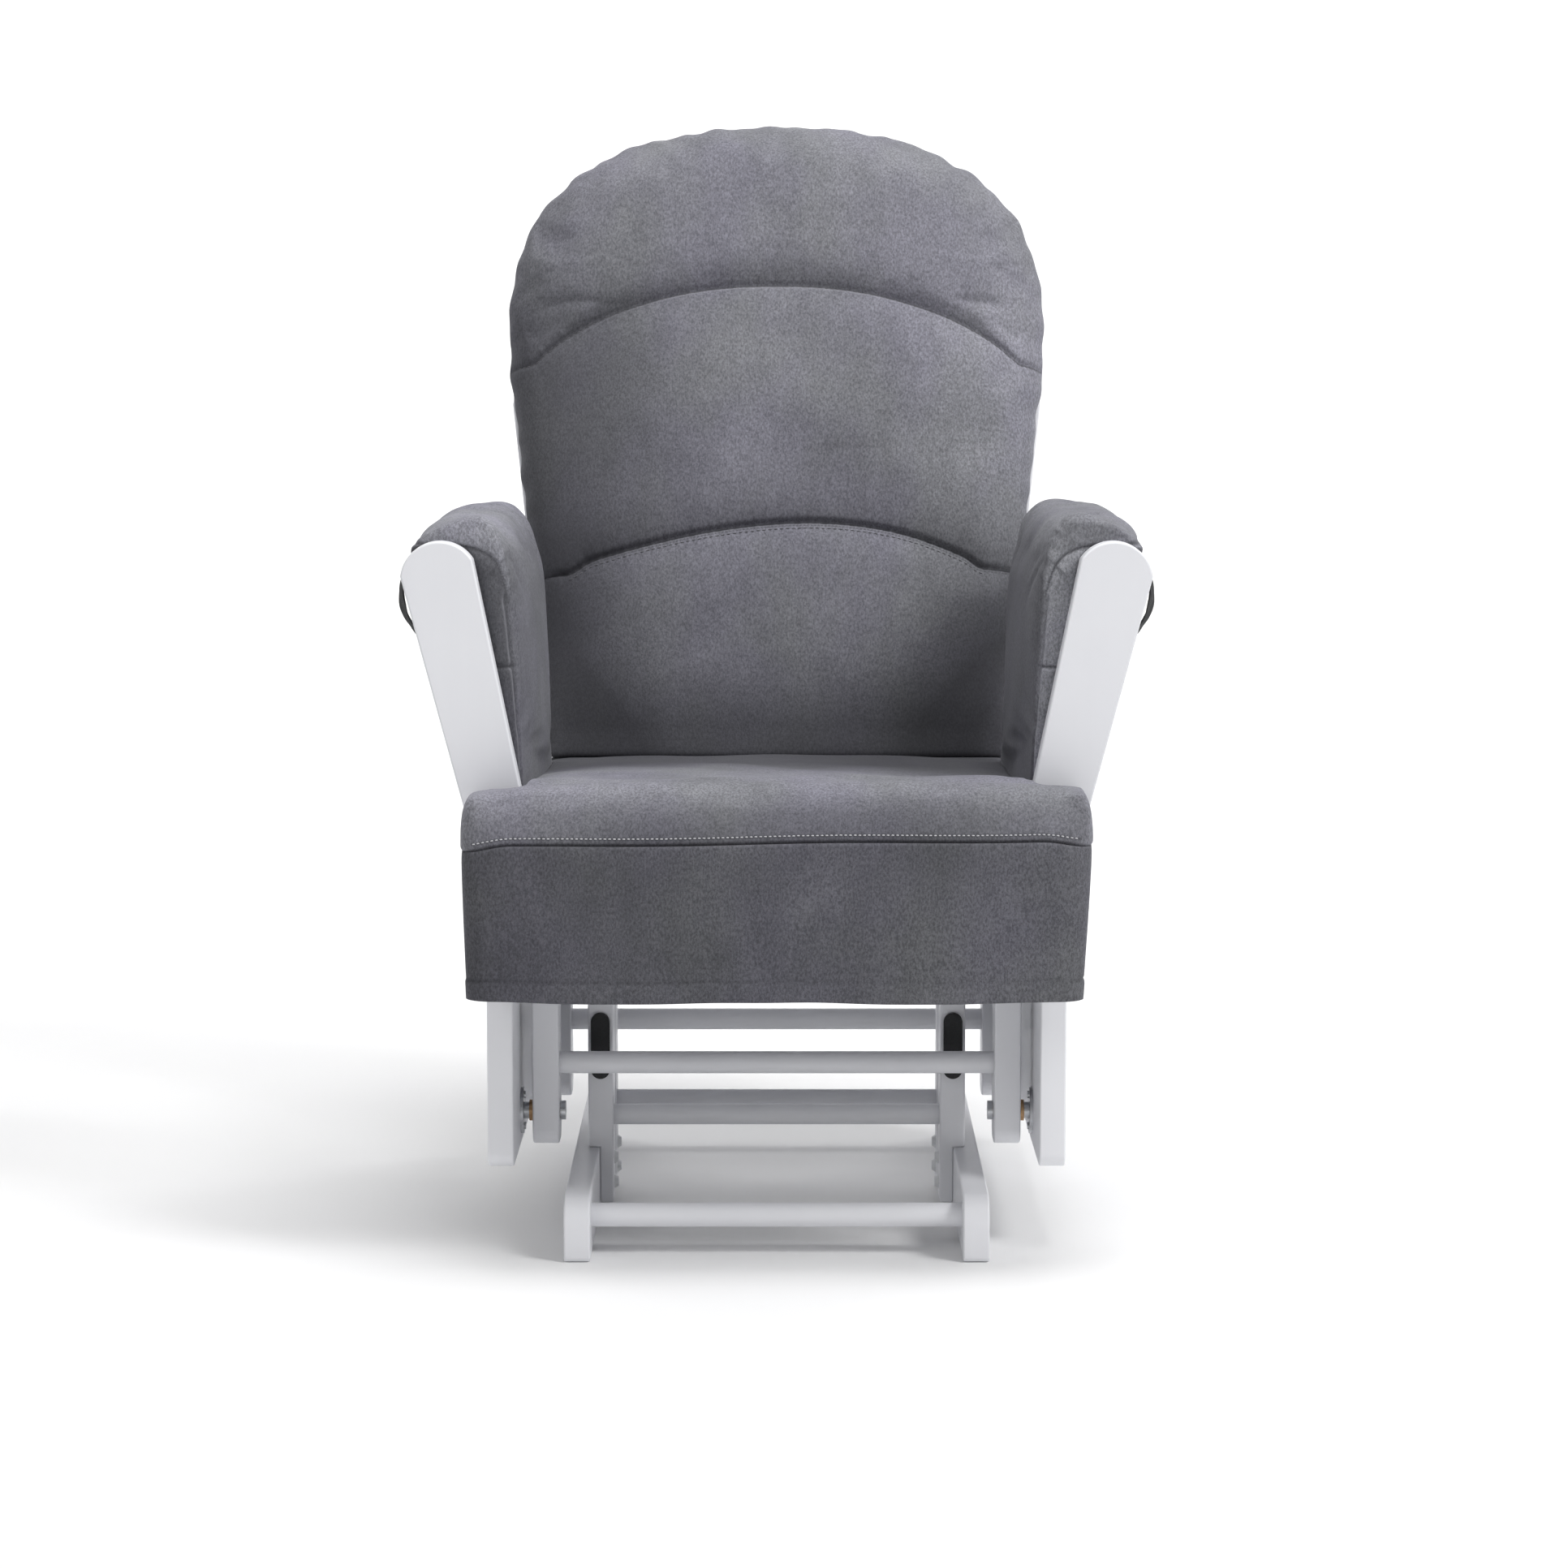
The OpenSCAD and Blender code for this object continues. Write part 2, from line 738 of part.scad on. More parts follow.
skid(-1);  // skid_left
skid(1);  // skid_right
upright(-1, -1);  // upright_front_left
upright(1, -1);  // upright_front_right
upright(-1, 1);  // upright_rear_left
upright(1, 1);  // upright_rear_right
hanger_rail(-1);  // hanger_rail_left
hanger_rail(1);  // hanger_rail_right
skid_dowel(-1);  // skid_dowel_front
skid_dowel(1);  // skid_dowel_rear
upright_dowel(-1);  // upright_dowel_front
upright_dowel(1);  // upright_dowel_rear
bumper_pads();
base_bolts();
upper_pivot_bolts();
upper_pivot_spacers();
link(-1, -1);  // link_front_left
link(1, -1);  // link_front_right
link_dowel(-1);  // link_dowel_front
link_bushes(-1);  // link_bushes_front
link(-1, 1);  // link_rear_left
link(1, 1);  // link_rear_right
link_dowel(1);  // link_dowel_rear
link_bushes(1);  // link_bushes_rear
side_panel(-1);  // side_panel_left
side_panel(1);  // side_panel_right
lower_pivot_bolts();
bearing_plates();
seat_rail(frame_front_y);  // seat_rail_front
seat_rail(frame_rear_y - board_t);  // seat_rail_rear
seat_slat(0);  // seat_slat_1
seat_slat(1);  // seat_slat_2
seat_slat(2);  // seat_slat_3
seat_slat(3);  // seat_slat_4
seat_slat(4);  // seat_slat_5
slat_screws();
arm_post(-1, arm_front_y, 0);  // arm_post_front_left
arm_post(1, arm_front_y, 0);  // arm_post_front_right
arm_post(-1, frame_rear_y, rear_post_trim);  // arm_post_rear_left
arm_post(1, frame_rear_y, rear_post_trim);  // arm_post_rear_right
arm_rest(-1);  // arm_rest_left
arm_rest(1);  // arm_rest_right
frame_bolts();
back_stile(-1);  // back_stile_left
back_stile(1);  // back_stile_right
back_top_rail();
back_lower_rail();
back_slat(-2);  // back_slat_1
back_slat(-1);  // back_slat_2
back_slat(0);  // back_slat_3
back_slat(1);  // back_slat_4
back_slat(2);  // back_slat_5
seat_cushion();
seat_skirt();
back_cushion();
arm_pad(-1);  // arm_pad_left
arm_pad(1);  // arm_pad_right
arm_straps(-1);  // arm_straps_left
arm_straps(1);  // arm_straps_right
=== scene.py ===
"""Glider nursery chair: soft parts, materials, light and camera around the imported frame.

Metres, +Z up. The chair faces -Y, and +X is to the right of someone who faces it.
"""

import json
import math

import bmesh
import bpy
import numpy as np
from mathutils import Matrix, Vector
from mathutils.bvhtree import BVHTree
from mathutils.kdtree import KDTree


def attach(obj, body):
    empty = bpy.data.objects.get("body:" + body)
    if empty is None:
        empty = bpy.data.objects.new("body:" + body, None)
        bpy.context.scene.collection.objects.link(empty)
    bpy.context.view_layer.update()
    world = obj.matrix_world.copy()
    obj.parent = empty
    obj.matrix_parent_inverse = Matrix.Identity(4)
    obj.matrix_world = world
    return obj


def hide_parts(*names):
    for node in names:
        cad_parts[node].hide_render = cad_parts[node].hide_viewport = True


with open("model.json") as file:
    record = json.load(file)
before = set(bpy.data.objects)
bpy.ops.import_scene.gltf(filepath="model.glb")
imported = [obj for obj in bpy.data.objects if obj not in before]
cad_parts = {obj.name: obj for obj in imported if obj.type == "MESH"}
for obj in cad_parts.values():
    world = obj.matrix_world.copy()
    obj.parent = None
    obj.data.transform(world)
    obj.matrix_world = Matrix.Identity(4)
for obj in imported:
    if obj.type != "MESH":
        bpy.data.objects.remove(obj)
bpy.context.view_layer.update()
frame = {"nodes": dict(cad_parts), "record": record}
nodes = frame["nodes"]

SIM_FRAMES = 20
CLOTH = {
    "quality": 5, "mass": 0.3, "tension_stiffness": 15, "compression_stiffness": 15, "shear_stiffness": 5,
    "bending_stiffness": 0.5, "use_pressure": True,
}

# ---- mesh helpers


def new_piece(name, points, faces):
    """A new mesh object from points and faces."""
    mesh = bpy.data.meshes.new(name)
    mesh.from_pydata([tuple(p) for p in points], [], faces)
    mesh.update()
    obj = bpy.data.objects.new(name, mesh)
    bpy.context.scene.collection.objects.link(obj)
    return obj


def points_of(obj):
    co = np.zeros(len(obj.data.vertices) * 3)
    obj.data.vertices.foreach_get("co", co)
    return co.reshape(-1, 3)


def normals_of(obj):
    n = np.zeros(len(obj.data.vertices) * 3)
    obj.data.vertices.foreach_get("normal", n)
    return n.reshape(-1, 3)


def set_points(obj, co):
    obj.data.vertices.foreach_set("co", co.astype(np.float32).ravel())
    obj.data.update()


def set_attribute(obj, name, values):
    """A number for each vertex, which a material reads."""
    attribute = obj.data.attributes.new(name, "FLOAT", "POINT")
    attribute.data.foreach_set("value", np.asarray(values, np.float32))


def freeze(obj):
    """Makes the mesh with its modifiers applied the object's own mesh."""
    evaluated = obj.evaluated_get(bpy.context.evaluated_depsgraph_get())
    mesh = bpy.data.meshes.new_from_object(evaluated)
    obj.modifiers.clear()
    obj.data = mesh


def smooth_shade(obj):
    obj.data.polygons.foreach_set("use_smooth", [True] * len(obj.data.polygons))


def add_modifier(obj, name, kind, **settings):
    modifier = obj.modifiers.new(name, kind)
    for key, value in settings.items():
        setattr(modifier, key, value)


def remesh(obj, voxel):
    add_modifier(obj, "remesh", "REMESH", mode="VOXEL", voxel_size=voxel)
    freeze(obj)


def subdivide(obj):
    add_modifier(obj, "subdivide", "SUBSURF", levels=1, render_levels=1)
    freeze(obj)


def refine(obj, near):
    """Split the edges of the vertices picked by a mask, for finer detail there."""
    mesh = bmesh.new()
    mesh.from_mesh(obj.data)
    mesh.verts.ensure_lookup_table()
    picked = [e for e in mesh.edges if near[e.verts[0].index] and near[e.verts[1].index]]
    bmesh.ops.subdivide_edges(mesh, edges=picked, cuts=1, use_grid_fill=True)
    mesh.to_mesh(obj.data)
    mesh.free()


def relax(obj, steps):
    add_modifier(obj, "relax", "SMOOTH", iterations=steps, factor=0.5)
    freeze(obj)


def ring_faces(first, count, loops):
    """Faces through loops of count points each, numbered from first, and over the two ends."""
    last = first + (loops - 1) * count
    faces = [tuple(range(first, first + count))[::-1]]
    for a in range(first, last, count):
        for i in range(count):
            j = (i + 1) % count
            faces.append((a + i, a + j, a + count + j, a + count + i))
    return faces + [tuple(range(last, last + count))]


def rings(name, loops):
    """A closed piece through loops of equally many points."""
    return new_piece(name, [p for loop in loops for p in loop], ring_faces(0, len(loops[0]), len(loops)))


def slab_faces(first, rows, columns):
    """Faces of a thin sheet of two grids of points, the outer and then the inner one, and along its edges."""
    faces, back = [], rows * columns
    for r in range(rows - 1):
        for i in range(columns - 1):
            a, b = first + r * columns + i, first + (r + 1) * columns + i
            faces.append((a, b, b + 1, a + 1))
            faces.append((back + a, back + a + 1, back + b + 1, back + b))
    for a in range(first, first + columns - 1):
        low = a + (rows - 1) * columns
        faces.append((a, a + 1, back + a + 1, back + a))
        faces.append((low, back + low, back + low + 1, low + 1))
    for a in range(first, first + (rows - 1) * columns, columns):
        b = a + columns
        faces.append((a, back + a, back + b, b))
        a, b = a + columns - 1, b + columns - 1
        faces.append((a, b, back + b, back + a))
    return faces


def rounded_outline(corners, radii, step=0.006):
    """Points of a closed polygon, counterclockwise, with its corners rounded."""
    outline, n = [], len(corners)
    for i in range(n):
        before, here, after = (np.array(corners[(i + k) % n], float) for k in (-1, 0, 1))
        a = (before - here) / np.linalg.norm(before - here)
        b = (after - here) / np.linalg.norm(after - here)
        half = math.acos(float(np.clip(a @ b, -1, 1))) / 2
        reach = radii[i] / math.tan(half)
        start, end = here + a * reach, here + b * reach
        for t in np.linspace(0, 1, 9):
            # a quadratic curve through the corner's two tangent points
            outline.append((1 - t) ** 2 * start + 2 * t * (1 - t) * here + t * t * end)
    return resample(np.array(outline), step)


def along_line(line):
    """How far along a line each of its points is."""
    return np.concatenate([[0], np.cumsum(np.linalg.norm(np.diff(line, axis=0), axis=1))])


def resample(loop, step):
    """A closed line again, with points about step apart."""
    closed = np.vstack([loop, loop[:1]])
    along = along_line(closed)
    at = np.linspace(0, along[-1], max(12, int(along[-1] / step)), endpoint=False)
    return np.stack([np.interp(at, along, closed[:, k]) for k in range(closed.shape[1])], axis=1)


def raised_to(points, height):
    """Points with one more coordinate, the same for all."""
    return np.column_stack([points, np.full(len(points), height)])


def inward(loop):
    """Unit normals that point into a counterclockwise closed line."""
    d = np.roll(loop, -1, axis=0) - np.roll(loop, 1, axis=0)
    n = np.stack([-d[:, 1], d[:, 0]], axis=1)
    return n / np.linalg.norm(n, axis=1)[:, None]


def ripple(values, lengths, seed=0.0):
    """A smooth irregular wave of about -1 to 1, the sum of a few waves of these lengths."""
    total = np.zeros_like(values)
    for k, length in enumerate(lengths):
        total += np.sin(2 * math.pi * values / length + seed + 2.4 * k * (seed + 1))
    return total / len(lengths)


def fade(distance, reach):
    return np.exp(-((distance / reach) ** 2))


def step_up(values, start, end):
    t = np.clip((values - start) / (end - start), 0, 1)
    return t * t * (3 - 2 * t)


def distance_to(line, points):
    """In a plane, the distance from each point to a finely sampled line, and how far along it that is."""
    tree = KDTree(len(line))
    for i, p in enumerate(line):
        tree.insert(Vector((*p, 0)), i)
    tree.balance()
    along = along_line(line)
    near = [tree.find(Vector((*p, 0))) for p in points]
    return np.array([n[2] for n in near]), np.array([along[n[1]] for n in near])


# ---- cloth simulation


class Inflation:
    """Pieces that swell together under inner pressure, as filled covers do."""

    def __init__(self):
        self.jobs = []

    def add(self, obj, pressure, cap, held):
        """held is a weight for each vertex, 1 where the cover can't move. cap is the most a point moves."""
        start = points_of(obj)
        group = obj.vertex_groups.new(name="held")
        for i in np.nonzero(held > 0.01)[0]:
            group.add([int(i)], float(min(1.0, held[i])), "REPLACE")
        cloth = obj.modifiers.new("cloth", "CLOTH")
        for key, value in CLOTH.items():
            setattr(cloth.settings, key, value)
        cloth.settings.uniform_pressure_force = pressure
        cloth.settings.vertex_group_mass = "held"
        cloth.settings.effector_weights.gravity = 0
        self.jobs.append((obj, start, cap))

    def run(self):
        scene = bpy.context.scene
        if not self.jobs:
            return
        for f in range(1, SIM_FRAMES + 1):
            scene.frame_set(f)
        for obj, start, cap in self.jobs:
            freeze(obj)
            moved = points_of(obj) - start
            far = np.maximum(np.linalg.norm(moved, axis=1), 1e-9)
            # the cap comes on softly, so that it leaves no edge
            limit = cap * np.tanh(far / cap) / far
            set_points(obj, start + moved * limit[:, None])
            obj.vertex_groups.clear()
        scene.frame_set(1)


# ---- materials


class Material:
    """A node material on the Principled shader, built up in steps."""

    def __init__(self, name, roughness, metallic=0.0):
        self.material = bpy.data.materials.new(name)
        self.material.use_nodes = True
        self.tree = self.material.node_tree
        self.shader = self.tree.nodes["Principled BSDF"]
        self.shader.inputs["Roughness"].default_value = roughness
        self.shader.inputs["Metallic"].default_value = metallic
        self.coordinates = self.tree.nodes.new("ShaderNodeTexCoord").outputs["Object"]

    def link(self, a, b):
        self.tree.links.new(a, b)

    def noise(self, scale, detail=3.0, stretch=(1, 1, 1), roughness=0.5):
        mapping = self.tree.nodes.new("ShaderNodeMapping")
        mapping.inputs["Scale"].default_value = stretch
        texture = self.tree.nodes.new("ShaderNodeTexNoise")
        texture.inputs["Scale"].default_value = scale
        texture.inputs["Detail"].default_value = detail
        texture.inputs["Roughness"].default_value = roughness
        self.link(self.coordinates, mapping.inputs["Vector"])
        self.link(mapping.outputs["Vector"], texture.inputs["Vector"])
        return texture.outputs["Fac"]

    def ramp(self, value, stops):
        """Colours or greys at places along a value from 0 to 1."""
        node = self.tree.nodes.new("ShaderNodeValToRGB")
        elements = node.color_ramp.elements
        while len(elements) < len(stops):
            elements.new(0.5)
        for element, (place, colour) in zip(elements, stops):
            element.position = place
            element.color = (*colour, 1) if hasattr(colour, "__len__") else (colour,) * 3 + (1,)
        self.link(value, node.inputs["Fac"])
        return node.outputs["Color"]

    def mix(self, factor, a, b, mode="MIX"):
        node = self.tree.nodes.new("ShaderNodeMix")
        node.data_type = "RGBA"
        node.blend_type = mode
        sockets = [s for s in node.inputs if s.enabled]
        for socket, value in zip(sockets, (factor, a, b)):
            if isinstance(value, bpy.types.NodeSocket):
                self.link(value, socket)
            elif hasattr(value, "__len__"):
                socket.default_value = (*value, 1)
            else:
                socket.default_value = value
        return [s for s in node.outputs if s.enabled][0]

    def attribute(self, name):
        node = self.tree.nodes.new("ShaderNodeAttribute")
        node.attribute_name = name
        return node.outputs["Fac"]

    def bump(self, *heights):
        """Bump from (height, distance in metres, strength) layers."""
        before = None
        for height, distance, strength in heights:
            node = self.tree.nodes.new("ShaderNodeBump")
            node.inputs["Distance"].default_value = distance
            node.inputs["Strength"].default_value = strength
            self.link(height, node.inputs["Height"])
            if before:
                self.link(before, node.inputs["Normal"])
            before = node.outputs["Normal"]
        self.link(before, self.shader.inputs["Normal"])

    def colour(self, value):
        self.link(value, self.shader.inputs["Base Color"])

    def roughness(self, value):
        self.link(value, self.shader.inputs["Roughness"])

    def set(self, **sockets):
        for name, value in sockets.items():
            self.shader.inputs[name.replace("_", " ")].default_value = value


def suede(name, dark, mid, light):
    """Brushed microfibre: cloudy nap, short streaks and fine fibre speckle. Three vertex attributes paint light
    and shade on it:
    painted shade where less light falls, a painted highlight on folded seam edges, and painted shade in seam
    grooves and stitch holes."""
    m = Material(name, 0.9)
    clouds = m.noise(6.5, 6.0, (1, 1, 1.3), 0.66)
    tint = m.noise(9.0, 3.0, (1.2, 1, 0.8), 0.5)
    streaks = m.noise(48.0, 4.0, (1, 1, 0.4), 0.65)
    fibres = m.noise(520.0, 3.0, (1, 1, 0.6), 0.8)
    base = m.ramp(clouds, [(0.34, dark), (0.5, mid), (0.66, light)])
    hue = m.ramp(tint, [(0.38, (0.49, 0.505, 0.475)), (0.62, (0.505, 0.49, 0.56))])
    tinted = m.mix(0.4, base, hue, "OVERLAY")
    streaked = m.mix(0.5, tinted, m.ramp(streaks, [(0.32, 0.41), (0.68, 0.58)]), "OVERLAY")
    speckled = m.mix(0.75, streaked, m.ramp(fibres, [(0.36, 0.26), (0.64, 0.70)]), "OVERLAY")
    # painted shade: the nap darkened where a vertex attribute says less light falls
    painted_shade = m.mix(m.attribute("painted_shade"), speckled, tuple(0.22 * c for c in dark))
    # painted highlight: folded seam edges lightened as if they caught the light
    highlighted = m.mix(m.attribute("ridge_highlight"), painted_shade, tuple(1.6 * c for c in light))
    # painted shade: seam grooves, stitch holes and hem lines darkened
    m.colour(m.mix(m.attribute("seam"), highlighted, tuple(0.28 * c for c in dark)))
    m.roughness(m.ramp(streaks, [(0.3, 0.82), (0.7, 0.97)]))
    m.bump((streaks, 0.0012, 0.25), (fibres, 0.0006, 0.5))
    m.set(Sheen_Weight=0.12, Sheen_Roughness=0.4, Sheen_Tint=(0.85, 0.86, 0.92, 1), Specular_IOR_Level=0.15)
    return m.material


def painted_wood():
    """White satin paint on sanded wood: a faint grain under it, tiny roller texture, softly worn tone."""
    m = Material("white_satin_paint", 0.4)
    tone = m.noise(5.0, 4.0)
    grain = m.noise(26.0, 6.0, (1, 1, 0.12), 0.6)
    peel = m.noise(420.0, 2.0)
    m.colour(m.mix(0.15, m.ramp(tone, [(0.3, (0.785, 0.79, 0.825)), (0.7, (0.815, 0.82, 0.85))]),
                   m.ramp(grain, [(0.35, (0.755, 0.76, 0.795)), (0.65, (0.835, 0.84, 0.865))])))
    m.roughness(m.ramp(peel, [(0.3, 0.42), (0.7, 0.54)]))
    m.bump((grain, 0.0008, 0.06), (peel, 0.0002, 0.12))
    m.set(Coat_Weight=0.1, Coat_Roughness=0.3)
    return m.material


def metal(name, low, high, roughness):
    """Plated or cast metal, with a faintly uneven gloss and fine turning marks."""
    m = Material(name, roughness, 1.0)
    marks = m.noise(300.0, 3.0, (0.15, 1, 1))
    stains = m.noise(60.0, 4.0)
    m.colour(m.ramp(stains, [(0.3, low), (0.7, high)]))
    m.roughness(m.ramp(marks, [(0.3, roughness * 0.8), (0.7, min(1.0, roughness * 1.3))]))
    m.bump((marks, 0.0002, 0.15))
    return m.material


def moulded(name, low, high, roughness, grain):
    """Rubber or plastic with a fine moulded grain."""
    m = Material(name, roughness)
    texture = m.noise(grain, 3.0)
    m.colour(m.ramp(texture, [(0.3, low), (0.7, high)]))
    m.roughness(m.ramp(texture, [(0.3, roughness * 0.85), (0.7, min(1.0, roughness * 1.1))]))
    m.bump((texture, 0.0003, 0.3))
    return m.material


def webbing():
    """Black woven tape: ribs across it, and a speckle of thread ends."""
    m = Material("black_webbing", 0.8)
    wave = m.tree.nodes.new("ShaderNodeTexWave")
    wave.bands_direction = "Y"
    wave.inputs["Scale"].default_value = 180.0
    wave.inputs["Distortion"].default_value = 0.6
    m.link(m.coordinates, wave.inputs["Vector"])
    threads = m.noise(500.0, 2.0)
    m.colour(m.ramp(threads, [(0.3, (0.006, 0.006, 0.007)), (0.75, (0.022, 0.023, 0.026))]))
    m.roughness(m.ramp(threads, [(0.3, 0.7), (0.7, 0.9)]))
    m.bump((wave.outputs["Fac"], 0.0006, 0.5), (threads, 0.0003, 0.4))
    m.set(Sheen_Weight=0.04)
    return m.material


def thread(name, low, high):
    """Twisted sewing thread."""
    m = Material(name, 0.6)
    twist = m.noise(1500.0, 2.0)
    m.colour(m.ramp(twist, [(0.3, low), (0.7, high)]))
    m.roughness(m.ramp(twist, [(0.3, 0.5), (0.7, 0.75)]))
    m.bump((twist, 0.0002, 0.5))
    m.set(Sheen_Weight=0.3)
    return m.material


def stage_floor():
    """Pale seamless paper."""
    m = Material("studio_paper", 0.7)
    paper = m.noise(3.0, 4.0)
    m.colour(m.ramp(paper, [(0.3, (0.88, 0.88, 0.885)), (0.7, (0.9, 0.9, 0.9))]))
    m.roughness(m.ramp(paper, [(0.3, 0.65), (0.7, 0.75)]))
    return m.material


# the dark, middle and light tone of the nap
SUEDE_TONES = ((0.152, 0.152, 0.170), (0.178, 0.178, 0.198), (0.206, 0.206, 0.226))


def suede_shaded_copy(name, share):
    """The same suede made darker or lighter as a whole by a share: painted light or shade for one piece, for
    how much light falls on it.
    """
    return suede(name, *(tuple(share * c for c in tone) for tone in SUEDE_TONES))


# lit and shaded copies of one suede: painted light and shade, the skirt darkest under the seat's overhang, the
# right pad lighter than the left
suede_material = suede_shaded_copy("charcoal_suede", 1.0)
back_material = suede_shaded_copy("charcoal_suede_back", 1.22)
seat_material = suede_shaded_copy("charcoal_suede_seat", 1.20)
pad_materials = {
    1: suede_shaded_copy("charcoal_suede_right_pad", 1.43),
    -1: suede_shaded_copy("charcoal_suede_left_pad", 1.25),
}
skirt_material = suede_shaded_copy("charcoal_suede_skirt", 0.66)
paint_material = painted_wood()
light_thread = thread("light_thread", (0.42, 0.42, 0.44), (0.6, 0.6, 0.62))
dark_thread = thread("dark_thread", (0.05, 0.05, 0.058), (0.12, 0.12, 0.13))
slot_materials = {
    "white_paint": paint_material,
    "white_caps": moulded("white_caps", (0.74, 0.75, 0.77), (0.8, 0.81, 0.82), 0.45, 350.0),
    "zinc_steel": metal("zinc_steel", (0.5, 0.51, 0.53), (0.62, 0.63, 0.65), 0.32),
    "bronze": metal("bronze", (0.42, 0.26, 0.14), (0.56, 0.37, 0.21), 0.4),
    "black_rubber": moulded("black_rubber", (0.012, 0.012, 0.013), (0.03, 0.03, 0.032), 0.75, 500.0),
    "black_webbing": webbing(),
    "cushion_suede": suede_material,
}


def set_material(obj, material):
    obj.data.materials.clear()
    obj.data.materials.append(material)


WELD_REACH = 0.00005
FLAT_WITHIN = math.radians(0.5)
EDGE_FROM = math.radians(40)
WOOD_EDGE = 0.0020
RUBBER_EDGE = 0.001


def finish_cad_nodes():
    """Materials on the CAD nodes, and softened edges on those of wood and rubber."""
    slot_of = {s["node"]: s["material_slot"] for s in frame["record"]["subparts"]}
    for name, obj in nodes.items():
        set_material(obj, slot_materials[slot_of[name]])
        wooden = slot_of[name] == "white_paint"
        if wooden or slot_of[name] == "black_rubber":
            add_modifier(obj, "weld", "WELD", merge_threshold=WELD_REACH)
            if name.startswith("arm_post"):
                # the flat faces become whole again, so that no sliver of a facet folds over at the round head
                add_modifier(obj, "flat", "DECIMATE", decimate_type="DISSOLVE", angle_limit=FLAT_WITHIN)
            add_modifier(obj, "sanded_edges", "BEVEL", width=WOOD_EDGE if wooden else RUBBER_EDGE, segments=3,
                         limit_method="ANGLE", angle_limit=EDGE_FROM, use_clamp_overlap=False, loop_slide=False)
            smooth_shade(obj)
            add_modifier(obj, "flat_shading", "WEIGHTED_NORMAL", weight=100)


# ---- seat cushion

SEAT_BOTTOM = 0.353
SEAT_SEAM = 0.393
STITCH_RISE = 0.0072
STITCH_HALF = 0.270
SEAT_FRONT_TOP = 0.4400
SEAT_DIP_TOP = 0.4215
SEAT_REAR_TOP = 0.4135
SEAT_FRONT = -0.355
SEAT_EAR_REAR = -0.2765
SEAT_REAR = 0.158
EAR_HALF = 0.2828
WAIST_HALF = 0.2320
REAR_HALF = 0.2285
FRONT_ROLL = 0.044
SIDE_ROLL = 0.010
WAIST_ROLL = 0.006
# a front arm post: where it stands, and its tapered width at a place up its leaning middle line
POST_FRONT = -0.2745
POST_REAR = -0.2445
POST_WIDTH = 0.067
POST_WIDTH_AT = 0.649
POST_TAPER = 0.0583
POST_SLOPE = 0.2327
POST_COSINE = 0.974


def seat_top(x, y):
    """Height of the top: a crown along the front, a dip behind it, and a slope down to the back."""
    crown = SEAT_FRONT_TOP + 0.005 * x - 0.0055 * step_up(np.abs(x), 0.220, 0.282)
    dip = SEAT_DIP_TOP + (SEAT_REAR_TOP - SEAT_DIP_TOP) * step_up(y, -0.13, SEAT_REAR)
    return dip + (crown - dip) * (1 - step_up(y, -0.275, -0.135))


def seat_outline():
    """The T-shaped cushion seen from above: two ears in front of the arms, and a narrower seat between."""
    corners = [
        (-EAR_HALF, SEAT_FRONT), (EAR_HALF, SEAT_FRONT),
        (EAR_HALF, SEAT_EAR_REAR), (WAIST_HALF, SEAT_EAR_REAR),
        (REAR_HALF, SEAT_REAR), (-REAR_HALF, SEAT_REAR),
        (-WAIST_HALF, SEAT_EAR_REAR), (-EAR_HALF, SEAT_EAR_REAR),
    ]
    radii = [0.028, 0.028, 0.010, 0.006, 0.012, 0.012, 0.006, 0.010]
    return rounded_outline(corners, radii, step=0.005)


def seat_cushion_start():
    """The seat cushion before it is filled: a flat base, upright sides and a rolled top edge."""
    outline = seat_outline()
    normal = inward(outline)
    top = seat_top(outline[:, 0], outline[:, 1])
    waist = WAIST_ROLL - 0.0035 * step_up(outline[:, 1], 0.0, 0.08)
    side = np.where(outline[:, 1] < SEAT_EAR_REAR, SIDE_ROLL, waist)
    roll = side + (FRONT_ROLL - side) * step_up(normal[:, 1], 0.5, 0.98)
    loops = []
    for inset, rise in ((0.008, 0.0), (0.002, 0.002), (0.0, 0.008)):
        loops.append(raised_to(outline + normal * inset, SEAT_BOTTOM + rise))
    for a in np.radians(np.linspace(0, 90, 8)):
        height = SEAT_SEAM + (top - SEAT_SEAM) * math.sin(a)
        loops.append(np.column_stack([outline + normal * (roll * (1 - math.cos(a)))[:, None], height]))
    return rings("seat_cushion_cover", loops)


def seat_held(obj):
    """The base, the side walls and their rolled edges keep their shape while the top fills."""
    co = points_of(obj)
    outline = seat_outline()
    d, _ = distance_to(np.vstack([outline, outline[:1]]), co[:, :2])
    roll = np.where(co[:, 1] < SEAT_EAR_REAR, SIDE_ROLL, WAIST_ROLL)
    rim = (d < roll + 0.004) & (co[:, 1] > SEAT_FRONT + 0.035)
    corner = (np.abs(co[:, 0]) > EAR_HALF - 0.016) & (co[:, 1] < SEAT_FRONT + 0.06)
    low = co[:, 2] < SEAT_SEAM + 0.002
    return (rim | corner | low).astype(float)


def post_inner(z):
    """Inner edge of a front arm post at height z: its leaning middle line less half its width."""
    width = POST_WIDTH + (z / POST_COSINE - POST_WIDTH_AT) * POST_TAPER
    return LEAN_X0 + POST_SLOPE * z - width / (2 * POST_COSINE)


def seam_on_front(x):
    """Height of the seam along the front of the seat cushion: a little skew, and lower at both ends."""
    wander = 0.0008 * np.sin(x * 21 + 0.6)
    return SEAT_SEAM - 0.0014 + 0.0105 * x + wander - 0.0065 * step_up(np.abs(x), 0.235, 0.285)


